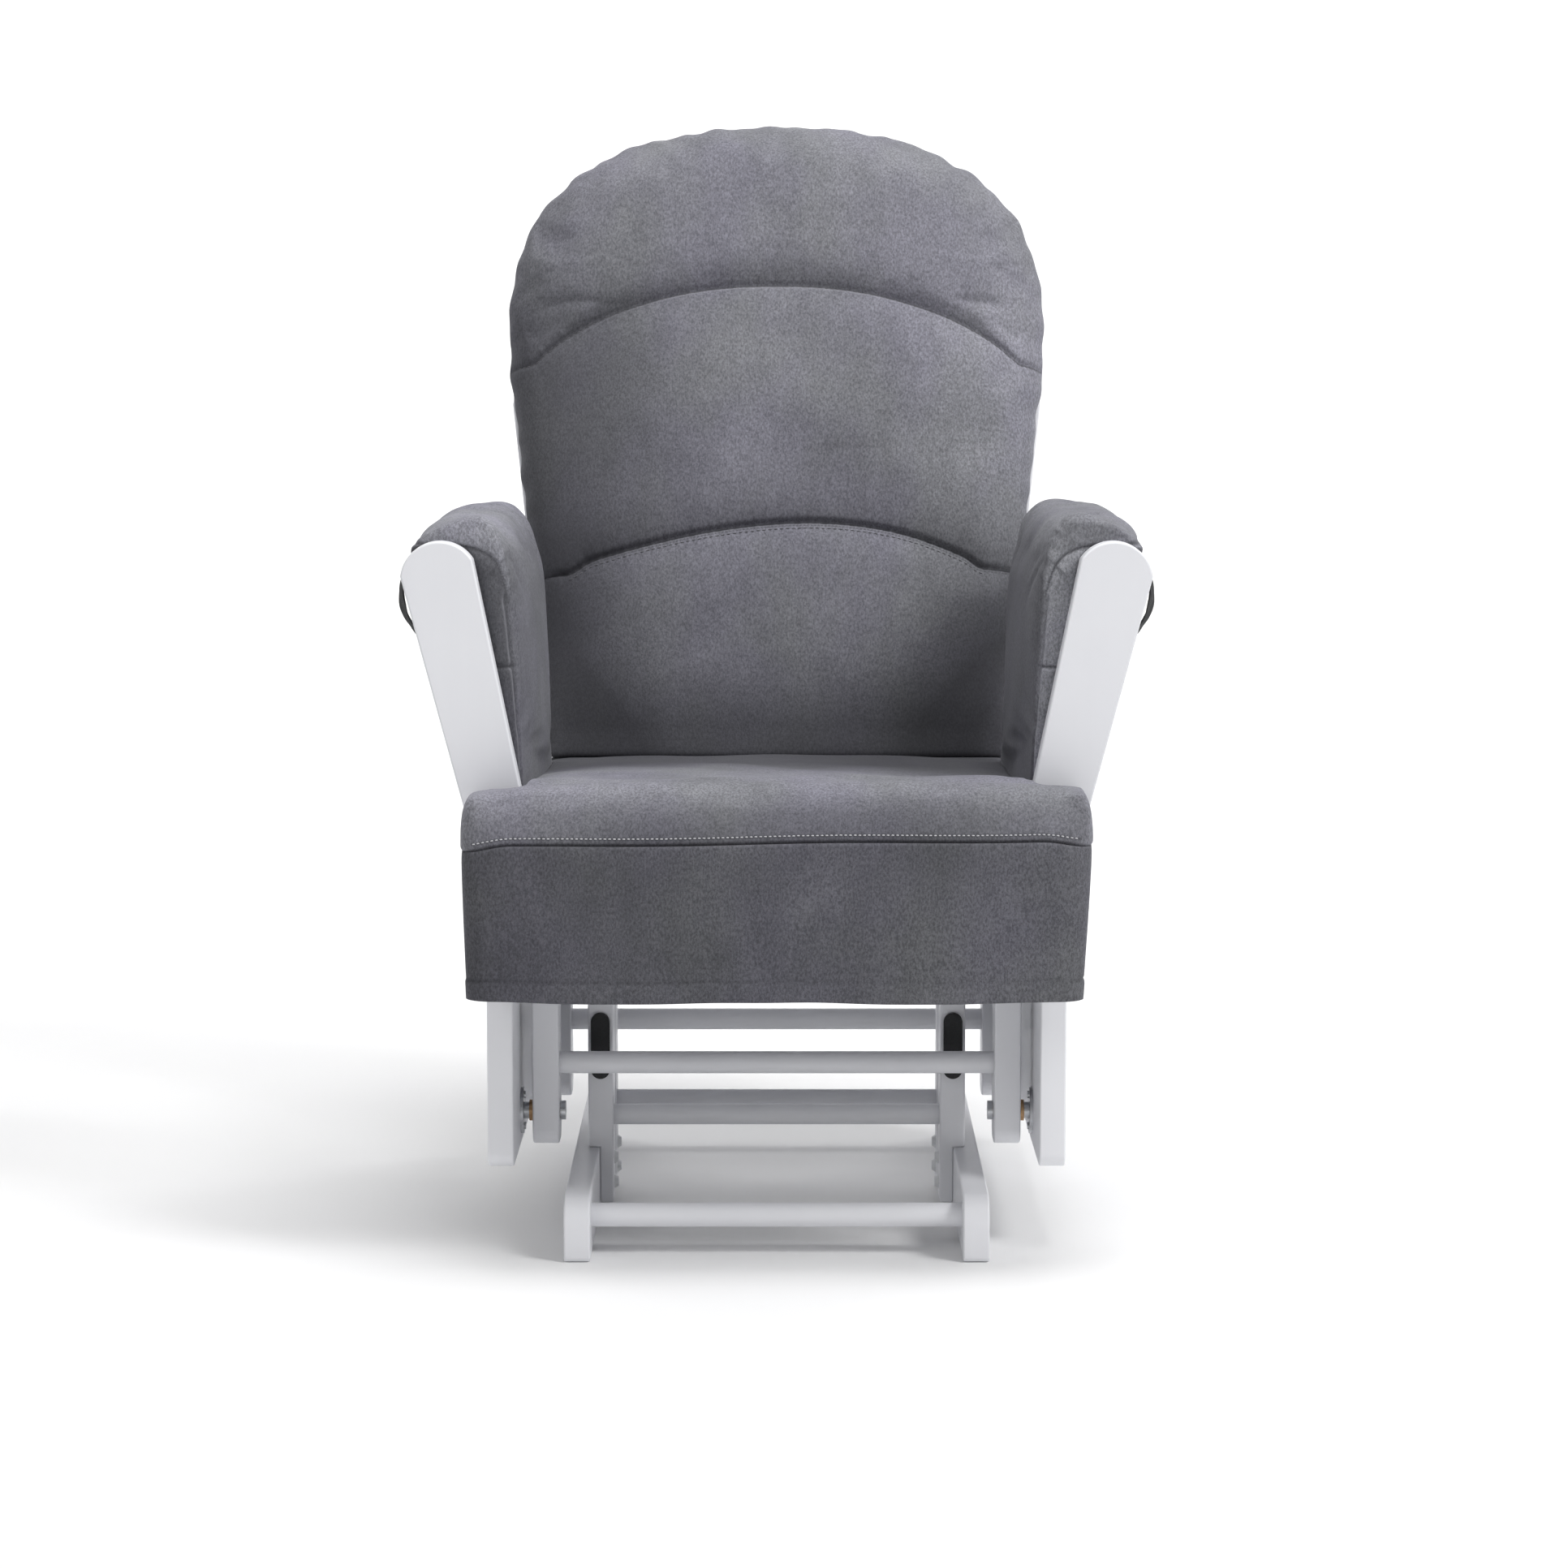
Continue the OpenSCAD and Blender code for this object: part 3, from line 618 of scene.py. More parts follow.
def finish_seat_cushion(obj):
    """The seam, puckers and filling of the seat cushion, its rests, and its painted shade."""
    co, n = points_of(obj), normals_of(obj)
    x, y, z = co.T
    upright = step_up(-n[:, 2], -0.75, -0.3)
    d = z - seam_on_front(x)
    along = x - y * np.sign(x)
    seam = fade(d, 0.0022) * upright * (y < SEAT_EAR_REAR + 0.01)
    co -= n * (0.0018 * seam)[:, None]
    # below it the boxing stands back behind the skirt
    co -= n * (0.0034 * step_up(-d, 0.0005, 0.005) * upright * (y < SEAT_EAR_REAR + 0.01))[:, None]
    # fine puckers just above the seam, and a soft uneven fill
    pucker = fade(d - 0.010, 0.009) * upright * (d > 0)
    co += n * (0.0007 * pucker * ripple(along, (0.013, 0.021, 0.034), 1.0))[:, None]
    co[:, 2] += (0.0016 * step_up(n[:, 2], 0.5, 0.9) * ripple(x + 0.6 * y, (0.21, 0.13), 2.0)
                 * ripple(y, (0.19,), 1.0))
    # flat under the back cushion, and cut away round the front arm posts
    under_back = step_up(co[:, 1], 0.085, 0.11)
    flat = SEAT_LINE - 0.0006
    co[:, 2] = np.where(co[:, 2] > flat, co[:, 2] + (flat - co[:, 2]) * under_back, co[:, 2])
    limit = post_inner(co[:, 2]) - 0.001
    beside_post = (co[:, 1] > POST_FRONT) & (co[:, 1] < POST_REAR) & (np.abs(co[:, 0]) > limit)
    co[:, 0] = np.where(beside_post, np.sign(co[:, 0]) * limit, co[:, 0])
    # and pressed against the drops of the arm pads
    limit = pad_inner(co[:, 1], co[:, 2]) - 0.0006
    beside_pad = (co[:, 1] > PAD_FRONT) & (co[:, 1] < PAD_REAR) & (np.abs(co[:, 0]) > limit)
    co[:, 0] = np.where(beside_pad, np.sign(co[:, 0]) * limit, co[:, 0])
    co[:, 2] = np.maximum(co[:, 2], SEAT_BOTTOM)
    set_points(obj, co)
    # painted shade in the seam groove and along the top-stitch row under the light thread
    front = upright * (y < SEAT_EAR_REAR + 0.01)
    row = 0.55 * fade(d - STITCH_RISE, 0.0011) * (np.abs(x) < STITCH_HALF + 0.001)
    set_attribute(obj, "seam", np.maximum(0.65 * fade(d, 0.0009), row) * front)
    # painted shade: darker on the front face and towards the back cushion, where less light falls
    facing = step_up(-n[:, 1], 0.42, 0.9) * (y < SEAT_EAR_REAR)
    middle = 1 - 0.4 * step_up(np.abs(x), 0.12, 0.25)
    set_attribute(obj, "painted_shade", np.clip(0.48 * facing * middle + 0.80 * step_up(y, -0.20, -0.02), 0, 0.8))


# ---- back cushion

RECLINE = math.radians(14)
BACK_FOOT = np.array([0, 0.172, 0.345])
UP = np.array([0, math.sin(RECLINE), math.cos(RECLINE)])
BEHIND = np.array([0, math.cos(RECLINE), -math.sin(RECLINE)])
# heights up the recline: the foot, where the arch springs, and the top
BACK_LOW_S = 0.050
BACK_SPRING_S = 0.500
BACK_TOP_S = 0.7178
BACK_HALF = 0.2725
# 2 would make the arch an ellipse, and more makes it squarer
BACK_POWER = 2.42
# half widths of the cushion at heights up the recline; it narrows where it passes between the arms
BACK_SIDES = [
    (0.05, 0.2325), (0.10, 0.2350), (0.20, 0.2435), (0.30, 0.2535), (0.365, 0.2605), (0.405, 0.2640),
    (0.430, 0.2685), (0.465, 0.2710), (0.50, 0.2725),
]
BACK_THICK = 0.080
# where the back cushion rests on the seat
SEAT_LINE = 0.4165


def to_back(co):
    """World points as (x, s up the recline, t behind its front face)."""
    d = co - BACK_FOOT
    return np.column_stack([d[:, 0], d @ UP, d @ BEHIND])


def from_back(p):
    """World points from (x, s, t)."""
    return BACK_FOOT + np.outer(p[:, 0], (1, 0, 0)) + np.outer(p[:, 1], UP) + np.outer(p[:, 2], BEHIND)


def back_outline():
    """The back cushion seen from the front, as (x, s), counterclockwise."""
    low = np.array([[0.0, BACK_LOW_S], [0.2310, BACK_LOW_S], [0.2325, BACK_LOW_S + 0.002]])
    s = np.linspace(BACK_LOW_S + 0.012, BACK_SPRING_S, 40)
    side = np.column_stack([np.interp(s, *zip(*BACK_SIDES)), s])
    a = np.radians(np.linspace(0, 90, 60))[1:]
    arch = np.column_stack([
        BACK_HALF * np.cos(a) ** (2 / BACK_POWER),
        BACK_SPRING_S + (BACK_TOP_S - BACK_SPRING_S) * np.sin(a) ** (2 / BACK_POWER),
    ])
    right = np.vstack([low, side, arch])
    left = right[1:-1][::-1] * (-1, 1)
    return resample(np.vstack([right, left]), 0.006)


def back_cushion_start():
    """The back cushion before it is filled."""
    outline = back_outline()
    normal = inward(outline)
    # the front edge is full and round above, and nearly square where it is pressed onto the seat
    roll = 0.005 + 0.039 * step_up(outline[:, 1], 0.055, 0.20)
    loops = []
    # from the back panel, round the edge, to the front panel: inset and depth
    for a in np.radians(np.linspace(0, 90, 6)):
        loops.append((0.6 * roll * (1 - math.sin(a)), -0.001 - 0.028 * (1 - math.cos(a))))
    for a in np.radians(np.linspace(0, 90, 8)):
        loops.append((roll * (1 - math.cos(a)), -0.034 - (BACK_THICK - 0.034) * math.sin(a)))
    return rings("back_cushion_cover", [
        from_back(raised_to(outline + normal * inset[:, None], depth))
        for inset, depth in loops
    ])


def smooth_line(route, steps=8):
    """A Catmull-Rom curve through the points of a route."""
    p = [np.array(q) for q in route]
    p = [2 * p[0] - p[1]] + p + [2 * p[-1] - p[-2]]
    line = []
    for i in range(1, len(p) - 2):
        for t in np.linspace(0, 1, steps, endpoint=False):
            a, b, c, d = p[i - 1], p[i], p[i + 1], p[i + 2]
            line.append(0.5 * (2 * b + (c - a) * t + (2 * a - 5 * b + 4 * c - d) * t**2
                               + (3 * b - a - 3 * c + d) * t**3))
    line.append(p[-2])
    return np.array(line)


# the seams of the front panel (x, s): an arch between two soft cusps, then nearly level out to the edges
UPPER_HALF = [
    (0.0, 0.5352), (0.050, 0.5333), (0.100, 0.5258), (0.149, 0.5117), (0.182, 0.4980), (0.215, 0.4786),
    (0.237, 0.4612), (0.2455, 0.4550), (0.254, 0.4540), (0.290, 0.4500),
]
UPPER_SEAM = smooth_line([(-x, y) for x, y in UPPER_HALF[:0:-1]] + UPPER_HALF, 40)
LOWER_SEAM = smooth_line([
    (-0.285, 0.2360), (-0.217, 0.2385), (-0.2075, 0.2395), (-0.199, 0.2440), (-0.1855, 0.2525),
    (-0.153, 0.2628), (-0.120, 0.2715), (-0.0875, 0.2790), (-0.055, 0.2848), (-0.022, 0.2890),
    (0.011, 0.2915), (0.043, 0.2920), (0.076, 0.2898), (0.109, 0.2847), (0.141, 0.2762),
    (0.174, 0.2636), (0.190, 0.2560), (0.1985, 0.2495), (0.206, 0.2460), (0.216, 0.2448),
    (0.285, 0.2430),
], 40)

# for each seam: depth of its groove, how far the panels turn in, how dark the painted shade of the groove and
# of the stitch holes is, how bright the painted highlight on its folded edge is, and the seed of its gathers
BACK_SEAM_LOOKS = [
    (UPPER_SEAM, 0.0026, 0.0034, 0.62, 0.0, 0.26, 1.0),
    (LOWER_SEAM, 0.0042, 0.0056, 0.80, 0.85, 0.14, 2.0),
]


def back_seam_weights(obj):
    """How firmly the two arched seams hold the front panel during the filling."""
    p = to_back(points_of(obj))
    front = p[:, 2] < -0.05
    held = np.zeros(len(p))
    for seam in (UPPER_SEAM, LOWER_SEAM):
        d, _ = distance_to(seam, p[:, :2])
        held = np.maximum(held, 0.9 * fade(d, 0.006) * front)
    held[(p[:, 2] > -0.004) | (p[:, 1] < 0.082)] = 1.0
    return held


def finish_back_cushion(obj):
    """The seams, gathers and filling of the back cushion, its rests, and its painted light and shade."""
    co, n = points_of(obj), normals_of(obj)
    p = to_back(co)
    facing = step_up(-(n @ BEHIND), 0.05, 0.5)
    seam_shade, ridge_highlight = np.zeros(len(co)), np.zeros(len(co))
    for seam, depth, turn_in, dark, stitched, light, seed in BACK_SEAM_LOOKS:
        d, along = distance_to(seam, p[:, :2])
        above = np.where(p[:, 1] > np.interp(p[:, 0], *seam.T), d, -d)
        # the fabric turns in on both sides, deepest just above the seam, with small gathers across it
        gather = 1 + 0.16 * ripple(along, (0.009, 0.015, 0.027), seed)
        sink = depth * fade(above - 0.0018, 0.0028) + turn_in * np.exp(-d / 0.018) * gather
        co += np.outer(sink * facing, BEHIND)
        # painted shadow as a dark line above the folded edge, a painted highlight on the edge itself, and
        # painted shade in the holes of the stitches below it
        holes = stitched * fade(above + 0.0024, 0.0010) * (0.70 + 0.30 * np.sin(along * 2 * math.pi / 0.0036))
        seam_shade = np.maximum(seam_shade, (dark * fade(above - 0.0006, 0.0011) + holes) * facing)
        middle = 1 - step_up(np.abs(p[:, 0]), 0.09, 0.2)
        ridge_highlight = np.maximum(ridge_highlight, light * fade(above + 0.0012, 0.0008) * facing * middle)
    # gathers along the closing seam round the edge
    edge = 1 - np.abs(n @ BEHIND)
    around = np.arctan2(p[:, 1] - 0.38, p[:, 0] * 1.2) * 0.36
    closing = fade(p[:, 2] + 0.030, 0.0035) * step_up(edge, 0.4, 0.8)
    gathers = step_up(edge, 0.15, 0.75) * (p[:, 1] > 0.2)
    co -= n * (0.0020 * closing)[:, None]
    co += n * (0.0017 * gathers * ripple(around, (0.058, 0.037, 0.083), 0.7))[:, None]
    # a soft unevenness of the filling
    broad = ripple(p[:, 0] + 0.4 * p[:, 1], (0.31, 0.17), 0.3) * ripple(p[:, 1], (0.27, 0.15), 1.3)
    co -= np.outer(0.0022 * facing * broad, BEHIND)
    # it lies flat on the frame behind it and on the seat below it
    p = to_back(co)
    p[:, 2] = np.minimum(p[:, 2], -0.0008)
    co = from_back(p)
    co[:, 2] = np.maximum(co[:, 2], SEAT_LINE)
    set_points(obj, co)
    # painted shade in the groove of the closing seam
    closing_shade = 0.5 * fade(p[:, 2] + 0.030, 0.0016) * step_up(edge, 0.4, 0.8)
    set_attribute(obj, "seam", np.maximum(seam_shade, closing_shade))
    set_attribute(obj, "ridge_highlight", ridge_highlight)
    # painted light and shade: darker low down, most of all beside the arms and at the foot, on the left flank
    # and just above the lower seam, lighter on the right flank, and a little darker all over
    x, s = p[:, 0], p[:, 1]
    low = 1 - step_up(s, 0.13, 0.36)
    foot = 1 - step_up(s, 0.06, 0.17)
    beside = step_up(np.abs(x), 0.10, 0.235)
    below_top = 1 - step_up(s, 0.44, 0.60)
    flank = step_up(-x, 0.03, 0.24) * (0.12 + 0.44 * below_top)
    bright = step_up(x, 0.03, 0.24) * below_top
    lift = s - np.interp(x, *LOWER_SEAM.T)
    above_seam = np.exp(-np.clip(lift, 0, 1) / 0.04) * (lift > 0)
    painted_shade = 0.60 * low * beside + 0.18 * low + 0.44 * foot
    painted_shade += (1 - low) * (flank - 0.18 * bright)
    painted_shade += 0.22 * above_seam
    on_front = step_up(-p[:, 2], 0.012, 0.040)
    set_attribute(obj, "painted_shade", np.clip(0.18 + painted_shade * on_front, 0, 0.88))


# ---- arm pads

ARM_LEAN = math.radians(13.1)
LEAN_X0 = 0.1596
# the arm rest's two edges and its top in the leaning plane
REST_U = (-0.030, 0.026)
REST_TOP = 0.656
PAD_FRONT = -0.2465
PAD_REAR = 0.084
PAD_TOE = 0.009
PAD_FOOT_Z = 0.392
# how much shade is painted on a pad: its front boxing, its drop, the foot of the drop and its crown
PAD_PAINTED_SHADE = {1: (0.0, 0.66, 0.02, 0.32), -1: (0.70, 0.42, 0.11, 0.0)}
# the seam over a pad's front (x, z), from the post inwards to where it turns down
PAD_SEAM = [
    (0.300, 0.6500), (0.281, 0.6493), (0.2693, 0.6459), (0.2585, 0.6393), (0.2496, 0.6262), (0.2435, 0.6060),
]


def lean_point(u, v):
    """Point (u across, v up) of the leaning plane of the right arm, as (x, z)."""
    c, s = math.cos(ARM_LEAN), math.sin(ARM_LEAN)
    return (LEAN_X0 + v * s + u * c, v * c - u * s)


def to_lean(x, z):
    """The other way: (x, z) as (u, v) of the leaning plane."""
    c, s = math.cos(ARM_LEAN), math.sin(ARM_LEAN)
    return (x - LEAN_X0) * c - z * s, (x - LEAN_X0) * s + z * c


def pad_toe(y):
    """How far a pad's drop leans in from its front inner edge, most of it just behind the front."""
    return PAD_TOE * (0.85 * step_up(y, PAD_FRONT - 0.02, -0.11) + 0.15 * step_up(y, -0.11, PAD_REAR))


def pad_inner(y, z):
    """Inner face of a pad's drop beside the seat."""
    return 0.2310 + (z - 0.416) * 0.055 - pad_toe(y)


def pad_section():
    """Cross-section of the right pad in (x, z), counterclockwise, before it is filled."""
    crown = []
    for a in np.radians(np.linspace(0, 90, 8)):
        # the crown slopes nearly straight down to its outer hem
        crown.append((0.271 + 0.0610 * math.cos(a) ** 1.5, 0.6440 + 0.0310 * math.sin(a) ** 1.5))
    for a in np.radians(np.linspace(90, 180, 10))[1:]:
        crown.append((0.271 + 0.0290 * math.cos(a), 0.600 + 0.075 * math.sin(a)))
    drop = [(0.2305, 0.416), (0.2295, PAD_FOOT_Z), (0.2355, PAD_FOOT_Z)]
    u_in, u_out, v_top = REST_U[0] - 0.001, REST_U[1] - 0.001, REST_TOP + 0.001
    under = [lean_point(u_in, 0.596), lean_point(u_in, v_top), lean_point(u_out, v_top)]
    return resample(np.array(crown + drop + under), 0.005)


def arm_pad_start(side, name):
    """An arm pad before it is filled. side is 1 for the right one and -1 for the left one."""
    section = pad_section()
    normal = inward(section)
    loops = []
    stations = [(PAD_FRONT, 0.004), (PAD_FRONT + 0.002, 0.0012), (PAD_FRONT + 0.006, 0.0)]
    stations += [(y, 0.0) for y in np.linspace(PAD_FRONT + 0.02, PAD_REAR - 0.02, 40)]
    stations += [(PAD_REAR - 0.008, 0.001), (PAD_REAR - 0.003, 0.004), (PAD_REAR, 0.009)]
    for y, inset in stations:
        ring = section + normal * inset
        toe = pad_toe(y) * (1 - step_up(ring[:, 0], 0.245, 0.28))
        loops.append(np.column_stack([side * (ring[:, 0] - toe), np.full(len(ring), y), ring[:, 1]]))
    if side < 0:
        loops = [loop[::-1] for loop in loops]
    return rings(name, loops[::-1])


def pad_held(obj, side):
    """The pad is held where it lies on the arm rest and at the edges of its drop."""
    co = points_of(obj)
    u, v = to_lean(side * co[:, 0], co[:, 2])
    near_top = (np.abs(v - REST_TOP) < 0.006) & (u > REST_U[0] - 0.006)
    near_side = (np.abs(u - REST_U[0]) < 0.006) & (v < REST_TOP + 0.006)
    outside = (u < REST_U[0] - 0.002) & (v < 0.60) & (side * co[:, 0] > 0.236 + (co[:, 2] - 0.424) * 0.13)
    low = co[:, 2] < 0.428
    return (near_top | near_side | outside | low).astype(float)


def finish_arm_pad(obj, side):
    """The seams, hem, gathers and filling of an arm pad, its rest, and its painted light and shade."""
    co, n = points_of(obj), normals_of(obj)
    x, y, z = side * co[:, 0], co[:, 1], co[:, 2]
    front = step_up(-n[:, 1], 0.1, 0.5) * step_up(-(y - PAD_FRONT), -0.012, -0.004)
    inner = step_up(-side * n[:, 0], 0.3, 0.8)
    # a seam comes over the front from the post, turns down and follows the front inner corner
    low = 1 - step_up(z, 0.600, 0.612)
    seam = fade(y - (PAD_FRONT + 0.0060), 0.0020) * inner * low
    turn, _ = distance_to(smooth_line(PAD_SEAM), np.column_stack([x, z]))
    seam = np.maximum(seam, fade(turn, 0.0018) * front)
    co -= n * (0.0018 * seam)[:, None]
    # the crown swells over that seam
    co += n * (0.0022 * front * fade(turn - 0.008, 0.009) * (z > 0.615) * (x + z > 0.885))[:, None]
    gathers = fade(y - PAD_FRONT, 0.035) * step_up(z, 0.56, 0.62) * (1 - front)
    co += n * (0.0012 * gathers * ripple(z + x, (0.017, 0.027, 0.041), 0.5 + side))[:, None]
    # the hem along the outer edge of the crown
    hem = fade(z - 0.6505, 0.0016) * step_up(x, 0.308, 0.318)
    co -= n * (0.0010 * hem)[:, None]
    # the cross seam of the front boxing
    cross = fade(z - 0.540, 0.0022) * front
    co -= n * (0.0016 * cross)[:, None]
    # long soft creases of the drop and of the crown
    co += n * (0.0009 * inner * ripple(y + 0.25 * z, (0.21, 0.13), 1.7 + side)
               * ripple(z, (0.19,), 0.4))[:, None]
    # the right pad is filled a little fuller on top
    swell = 0.0052 if side > 0 else 0.0014
    co += n * (swell * step_up(n[:, 2], -0.1, 0.5) * step_up(z, 0.63, 0.66))[:, None]
    top = step_up(n[:, 2], 0.3, 0.8)
    co += n * (0.0016 * top * ripple(y + 0.5 * x, (0.14, 0.083), 0.9 + side))[:, None]
    # the wood keeps its place
    u, v = to_lean(side * co[:, 0], co[:, 2])
    inside = (u > REST_U[0]) & (u < REST_U[1]) & (v < REST_TOP) & (v > REST_TOP - 0.012)
    co[inside, 2] += (REST_TOP - v[inside] + 0.0003) * math.cos(ARM_LEAN)
    co[inside, 0] += side * (REST_TOP - v[inside] + 0.0003) * math.sin(ARM_LEAN)
    co[:, 1] = np.maximum(co[:, 1], PAD_FRONT - 0.0012)
    set_points(obj, co)
    # painted shade in the seams, under the hem and in the cross seam of the boxing
    shade_under_hem = step_up(0.650 - z, 0.0, 0.004) * step_up(x, 0.314, 0.322)
    seam_hem_shade = np.maximum(0.8 * fade(z - 0.540, 0.0012) * front, 0.75 * np.maximum(hem, shade_under_hem))
    corner = fade(y - (PAD_FRONT + 0.0035), 0.0010) * inner * low
    set_attribute(obj, "seam", np.maximum(0.85 * (seam * (1 - 0.5 * low)) ** 2, seam_hem_shade))
    # painted highlight along the front inner corner seam
    set_attribute(obj, "ridge_highlight", 0.35 * corner)
    # painted shade on the boxing, the drop, its foot and the crown, different on each side as the light falls
    # differently
    boxing, drop, foot, crown = PAD_PAINTED_SHADE[side]
    drop_face = inner * (1 - front) * (1 - step_up(z, 0.635, 0.66))
    below_seam = step_up(np.interp(x, *np.array(PAD_SEAM[::-1]).T) - z, -0.001, 0.001)
    painted_shade = boxing * front * below_seam + drop * drop_face + foot * inner * (1 - step_up(z, 0.42, 0.50))
    painted_shade += crown * step_up(z, 0.635, 0.66) * (1 - front * below_seam)
    set_attribute(obj, "painted_shade", np.clip(painted_shade, 0, 0.85))


# ---- seat skirt

SKIRT_LOW = 0.250
SKIRT_HALF = 0.2814
SKIRT_FRONT = -0.3595
SKIRT_RETURN = -0.278
SKIRT_CORNER = 0.027
SKIRT_THICK = 0.0018
SKIRT_ROWS = 52
HEM = 0.018


def skirt_path(step=0.004):
    """The skirt's line seen from above, from the left return round the front to the right one."""
    turn = np.radians(np.linspace(180, 270, 10))
    centre = np.array([-SKIRT_HALF + SKIRT_CORNER, SKIRT_FRONT + SKIRT_CORNER])
    corner = centre + SKIRT_CORNER * np.column_stack([np.cos(turn), np.sin(turn)])
    left = np.vstack([[-SKIRT_HALF, SKIRT_RETURN], corner])
    line = np.vstack([left, left[::-1] * (-1, 1)])
    along = along_line(line)
    at = np.linspace(0, along[-1], int(along[-1] / step))
    return np.stack([np.interp(at, along, line[:, k]) for k in range(2)], axis=1), at


def build_skirt():
    """The hanging skirt with its hem, and its developed length."""
    line, along = skirt_path()
    # its top edge lies in the seam of the cushion
    top = seam_on_front(line[:, 0]) + 0.0006
    d = np.gradient(line, axis=0)
    out = np.column_stack([d[:, 1], -d[:, 0]]) / np.linalg.norm(d, axis=1)[:, None]
    outer, inner, hem_shade = [], [], []
    for r in range(SKIRT_ROWS + 1):
        drop = r / SKIRT_ROWS
        z = top - (top - SKIRT_LOW) * drop
        wave = 0.0030 * drop**1.2 * ripple(along, (0.23, 0.137, 0.091), 0.8)
        tuck = -0.0007 * math.exp(-drop * 30)
        hang = -0.0064 * drop**1.3 * step_up(np.abs(line[:, 0]), 0.2, SKIRT_HALF)
        above_hem = z - SKIRT_LOW - HEM
        stitch = -0.0009 * fade(above_hem, 0.0016)
        puff = 0.0009 * (above_hem < 0)
        shift = wave + tuck + hang + stitch + puff
        thick = SKIRT_THICK + 0.0016 * (above_hem < 0)
        height = z + 0.0008 * np.sin(along * 23) * drop
        outer.append(np.column_stack([line + out * shift[:, None], height]))
        inner.append(np.column_stack([line + out * (shift - thick)[:, None], height]))
        # painted shade in the groove of the hem stitching
        hem_shade.append(0.45 * fade(above_hem, 0.0012))
    obj = new_piece("seat_skirt_cloth", np.vstack(outer + inner), slab_faces(0, SKIRT_ROWS + 1, len(line)))
    set_attribute(obj, "seam", np.concatenate(hem_shade + hem_shade))
    # painted shade: darker towards the left, lighter towards the right, as the light falls
    painted_shade = 0.12 + 0.20 * step_up(-line[:, 0], 0.05, 0.26) - 0.12 * step_up(line[:, 0], 0.05, 0.26)
    set_attribute(obj, "painted_shade", np.tile(painted_shade, 2 * (SKIRT_ROWS + 1)))
    smooth_shade(obj)
    return obj, along[-1]


# ---- straps and stitches

STRAP_WIDTH = 0.025
STRAP_THICK = 0.0016
STRAP_STARTS = (-0.190, 0.020)
STRAP_TWIST = math.radians(16)
# a strap's middle line (x, z), from under the pad's hem round to the inside of the arm rest
STRAP_ROUTE = [
    (0.3345, 0.641), (0.3395, 0.628), (0.3435, 0.615), (0.3455, 0.602), (0.3437, 0.589),
    (0.3380, 0.575), (0.326, 0.5615), (0.297, 0.5630), (0.2645, 0.5865),
]
# along a stitch: share of its length, then its height and its thickness as shares of the thread's radius
STITCH_SECTIONS = ((0, -0.3, 0.45), (0.2, 0.45, 0.9), (0.5, 0.75, 1.0), (0.8, 0.45, 0.9), (1, -0.3, 0.45))


def build_straps(side, name):
    """Two woven straps, slack round the outer edge of the arm rest."""
    line = smooth_line(STRAP_ROUTE)
    d = np.gradient(line, axis=0)
    out = np.column_stack([-d[:, 1], d[:, 0]]) / np.linalg.norm(d, axis=1)[:, None]
    points, faces = [], []
    across = np.linspace(0, 1, 11)
    for k, y0 in enumerate(STRAP_STARTS):
        faces += slab_faces(len(points), len(line), len(across))
        for face in (0.5, -0.5):
            for i in range(len(line)):
                slack = math.sin(math.pi * i / (len(line) - 1))
                turn = STRAP_TWIST * slack
                sway = 0.0012 * slack * math.sin(i * 0.2 + k)
                for j, t in enumerate(across):
                    cup = 0.0012 * slack * (4 * (t - 0.5) ** 2) + 0.0006 * math.sin(9 * t + i * 0.35 + k)
                    edge = 0.35 if j in (0, len(across) - 1) else 1.0
                    lean = (t - 0.5) * STRAP_WIDTH * math.sin(turn)
                    y = y0 + STRAP_WIDTH * (0.5 + (t - 0.5) * math.cos(turn)) + sway
                    q = line[i] + out[i] * (lean + cup * slack + STRAP_THICK * face * edge)
                    points.append((side * q[0], y, q[1]))
    obj = new_piece(name, points, faces)
    if side < 0:
        obj.data.flip_normals()
    smooth_shade(obj)
    return obj


def stitch_row(name, on, line, direction, length, gap, radius):
    """A row of thread stitches on a piece, where a line meets it when looked at along a direction."""
    mesh = on.data
    tree = BVHTree.FromPolygons([v.co for v in mesh.vertices], [tuple(f.vertices) for f in mesh.polygons])
    hits = []
    for p in line:
        place, normal, _, _ = tree.ray_cast(Vector(p), Vector(direction))
        if place is not None:
            hits.append((np.array(place), np.array(normal)))
    path = np.array([h[0] for h in hits])
    normal = np.array([h[1] for h in hits])
    along = along_line(path)

    def at(distance):
        return (np.array([np.interp(distance, along, path[:, k]) for k in range(3)]),
                np.array([np.interp(distance, along, normal[:, k]) for k in range(3)]))

    points, faces = [], []
    sides = 6
    start = 0.0
    while start + length < along[-1]:
        first = len(points)
        # each stitch dips into the cloth at both ends
        for share, lift, width in STITCH_SECTIONS:
            place, up = at(start + share * length)
            ahead = at(start + min(1, share + 0.1) * length)[0] - at(start + max(0, share - 0.1) * length)[0]
            ahead = ahead / max(np.linalg.norm(ahead), 1e-9)
            up = up / np.linalg.norm(up)
            across = np.cross(ahead, up)
            for k in range(sides):
                a = 2 * math.pi * k / sides
                rise, aside = lift + width * math.sin(a), width * math.cos(a)
                points.append(place + up * radius * rise + across * radius * aside)
        faces += ring_faces(first, sides, len(STITCH_SECTIONS))
        start += length + gap
    obj = new_piece(name, points, faces)
    smooth_shade(obj)
    return obj


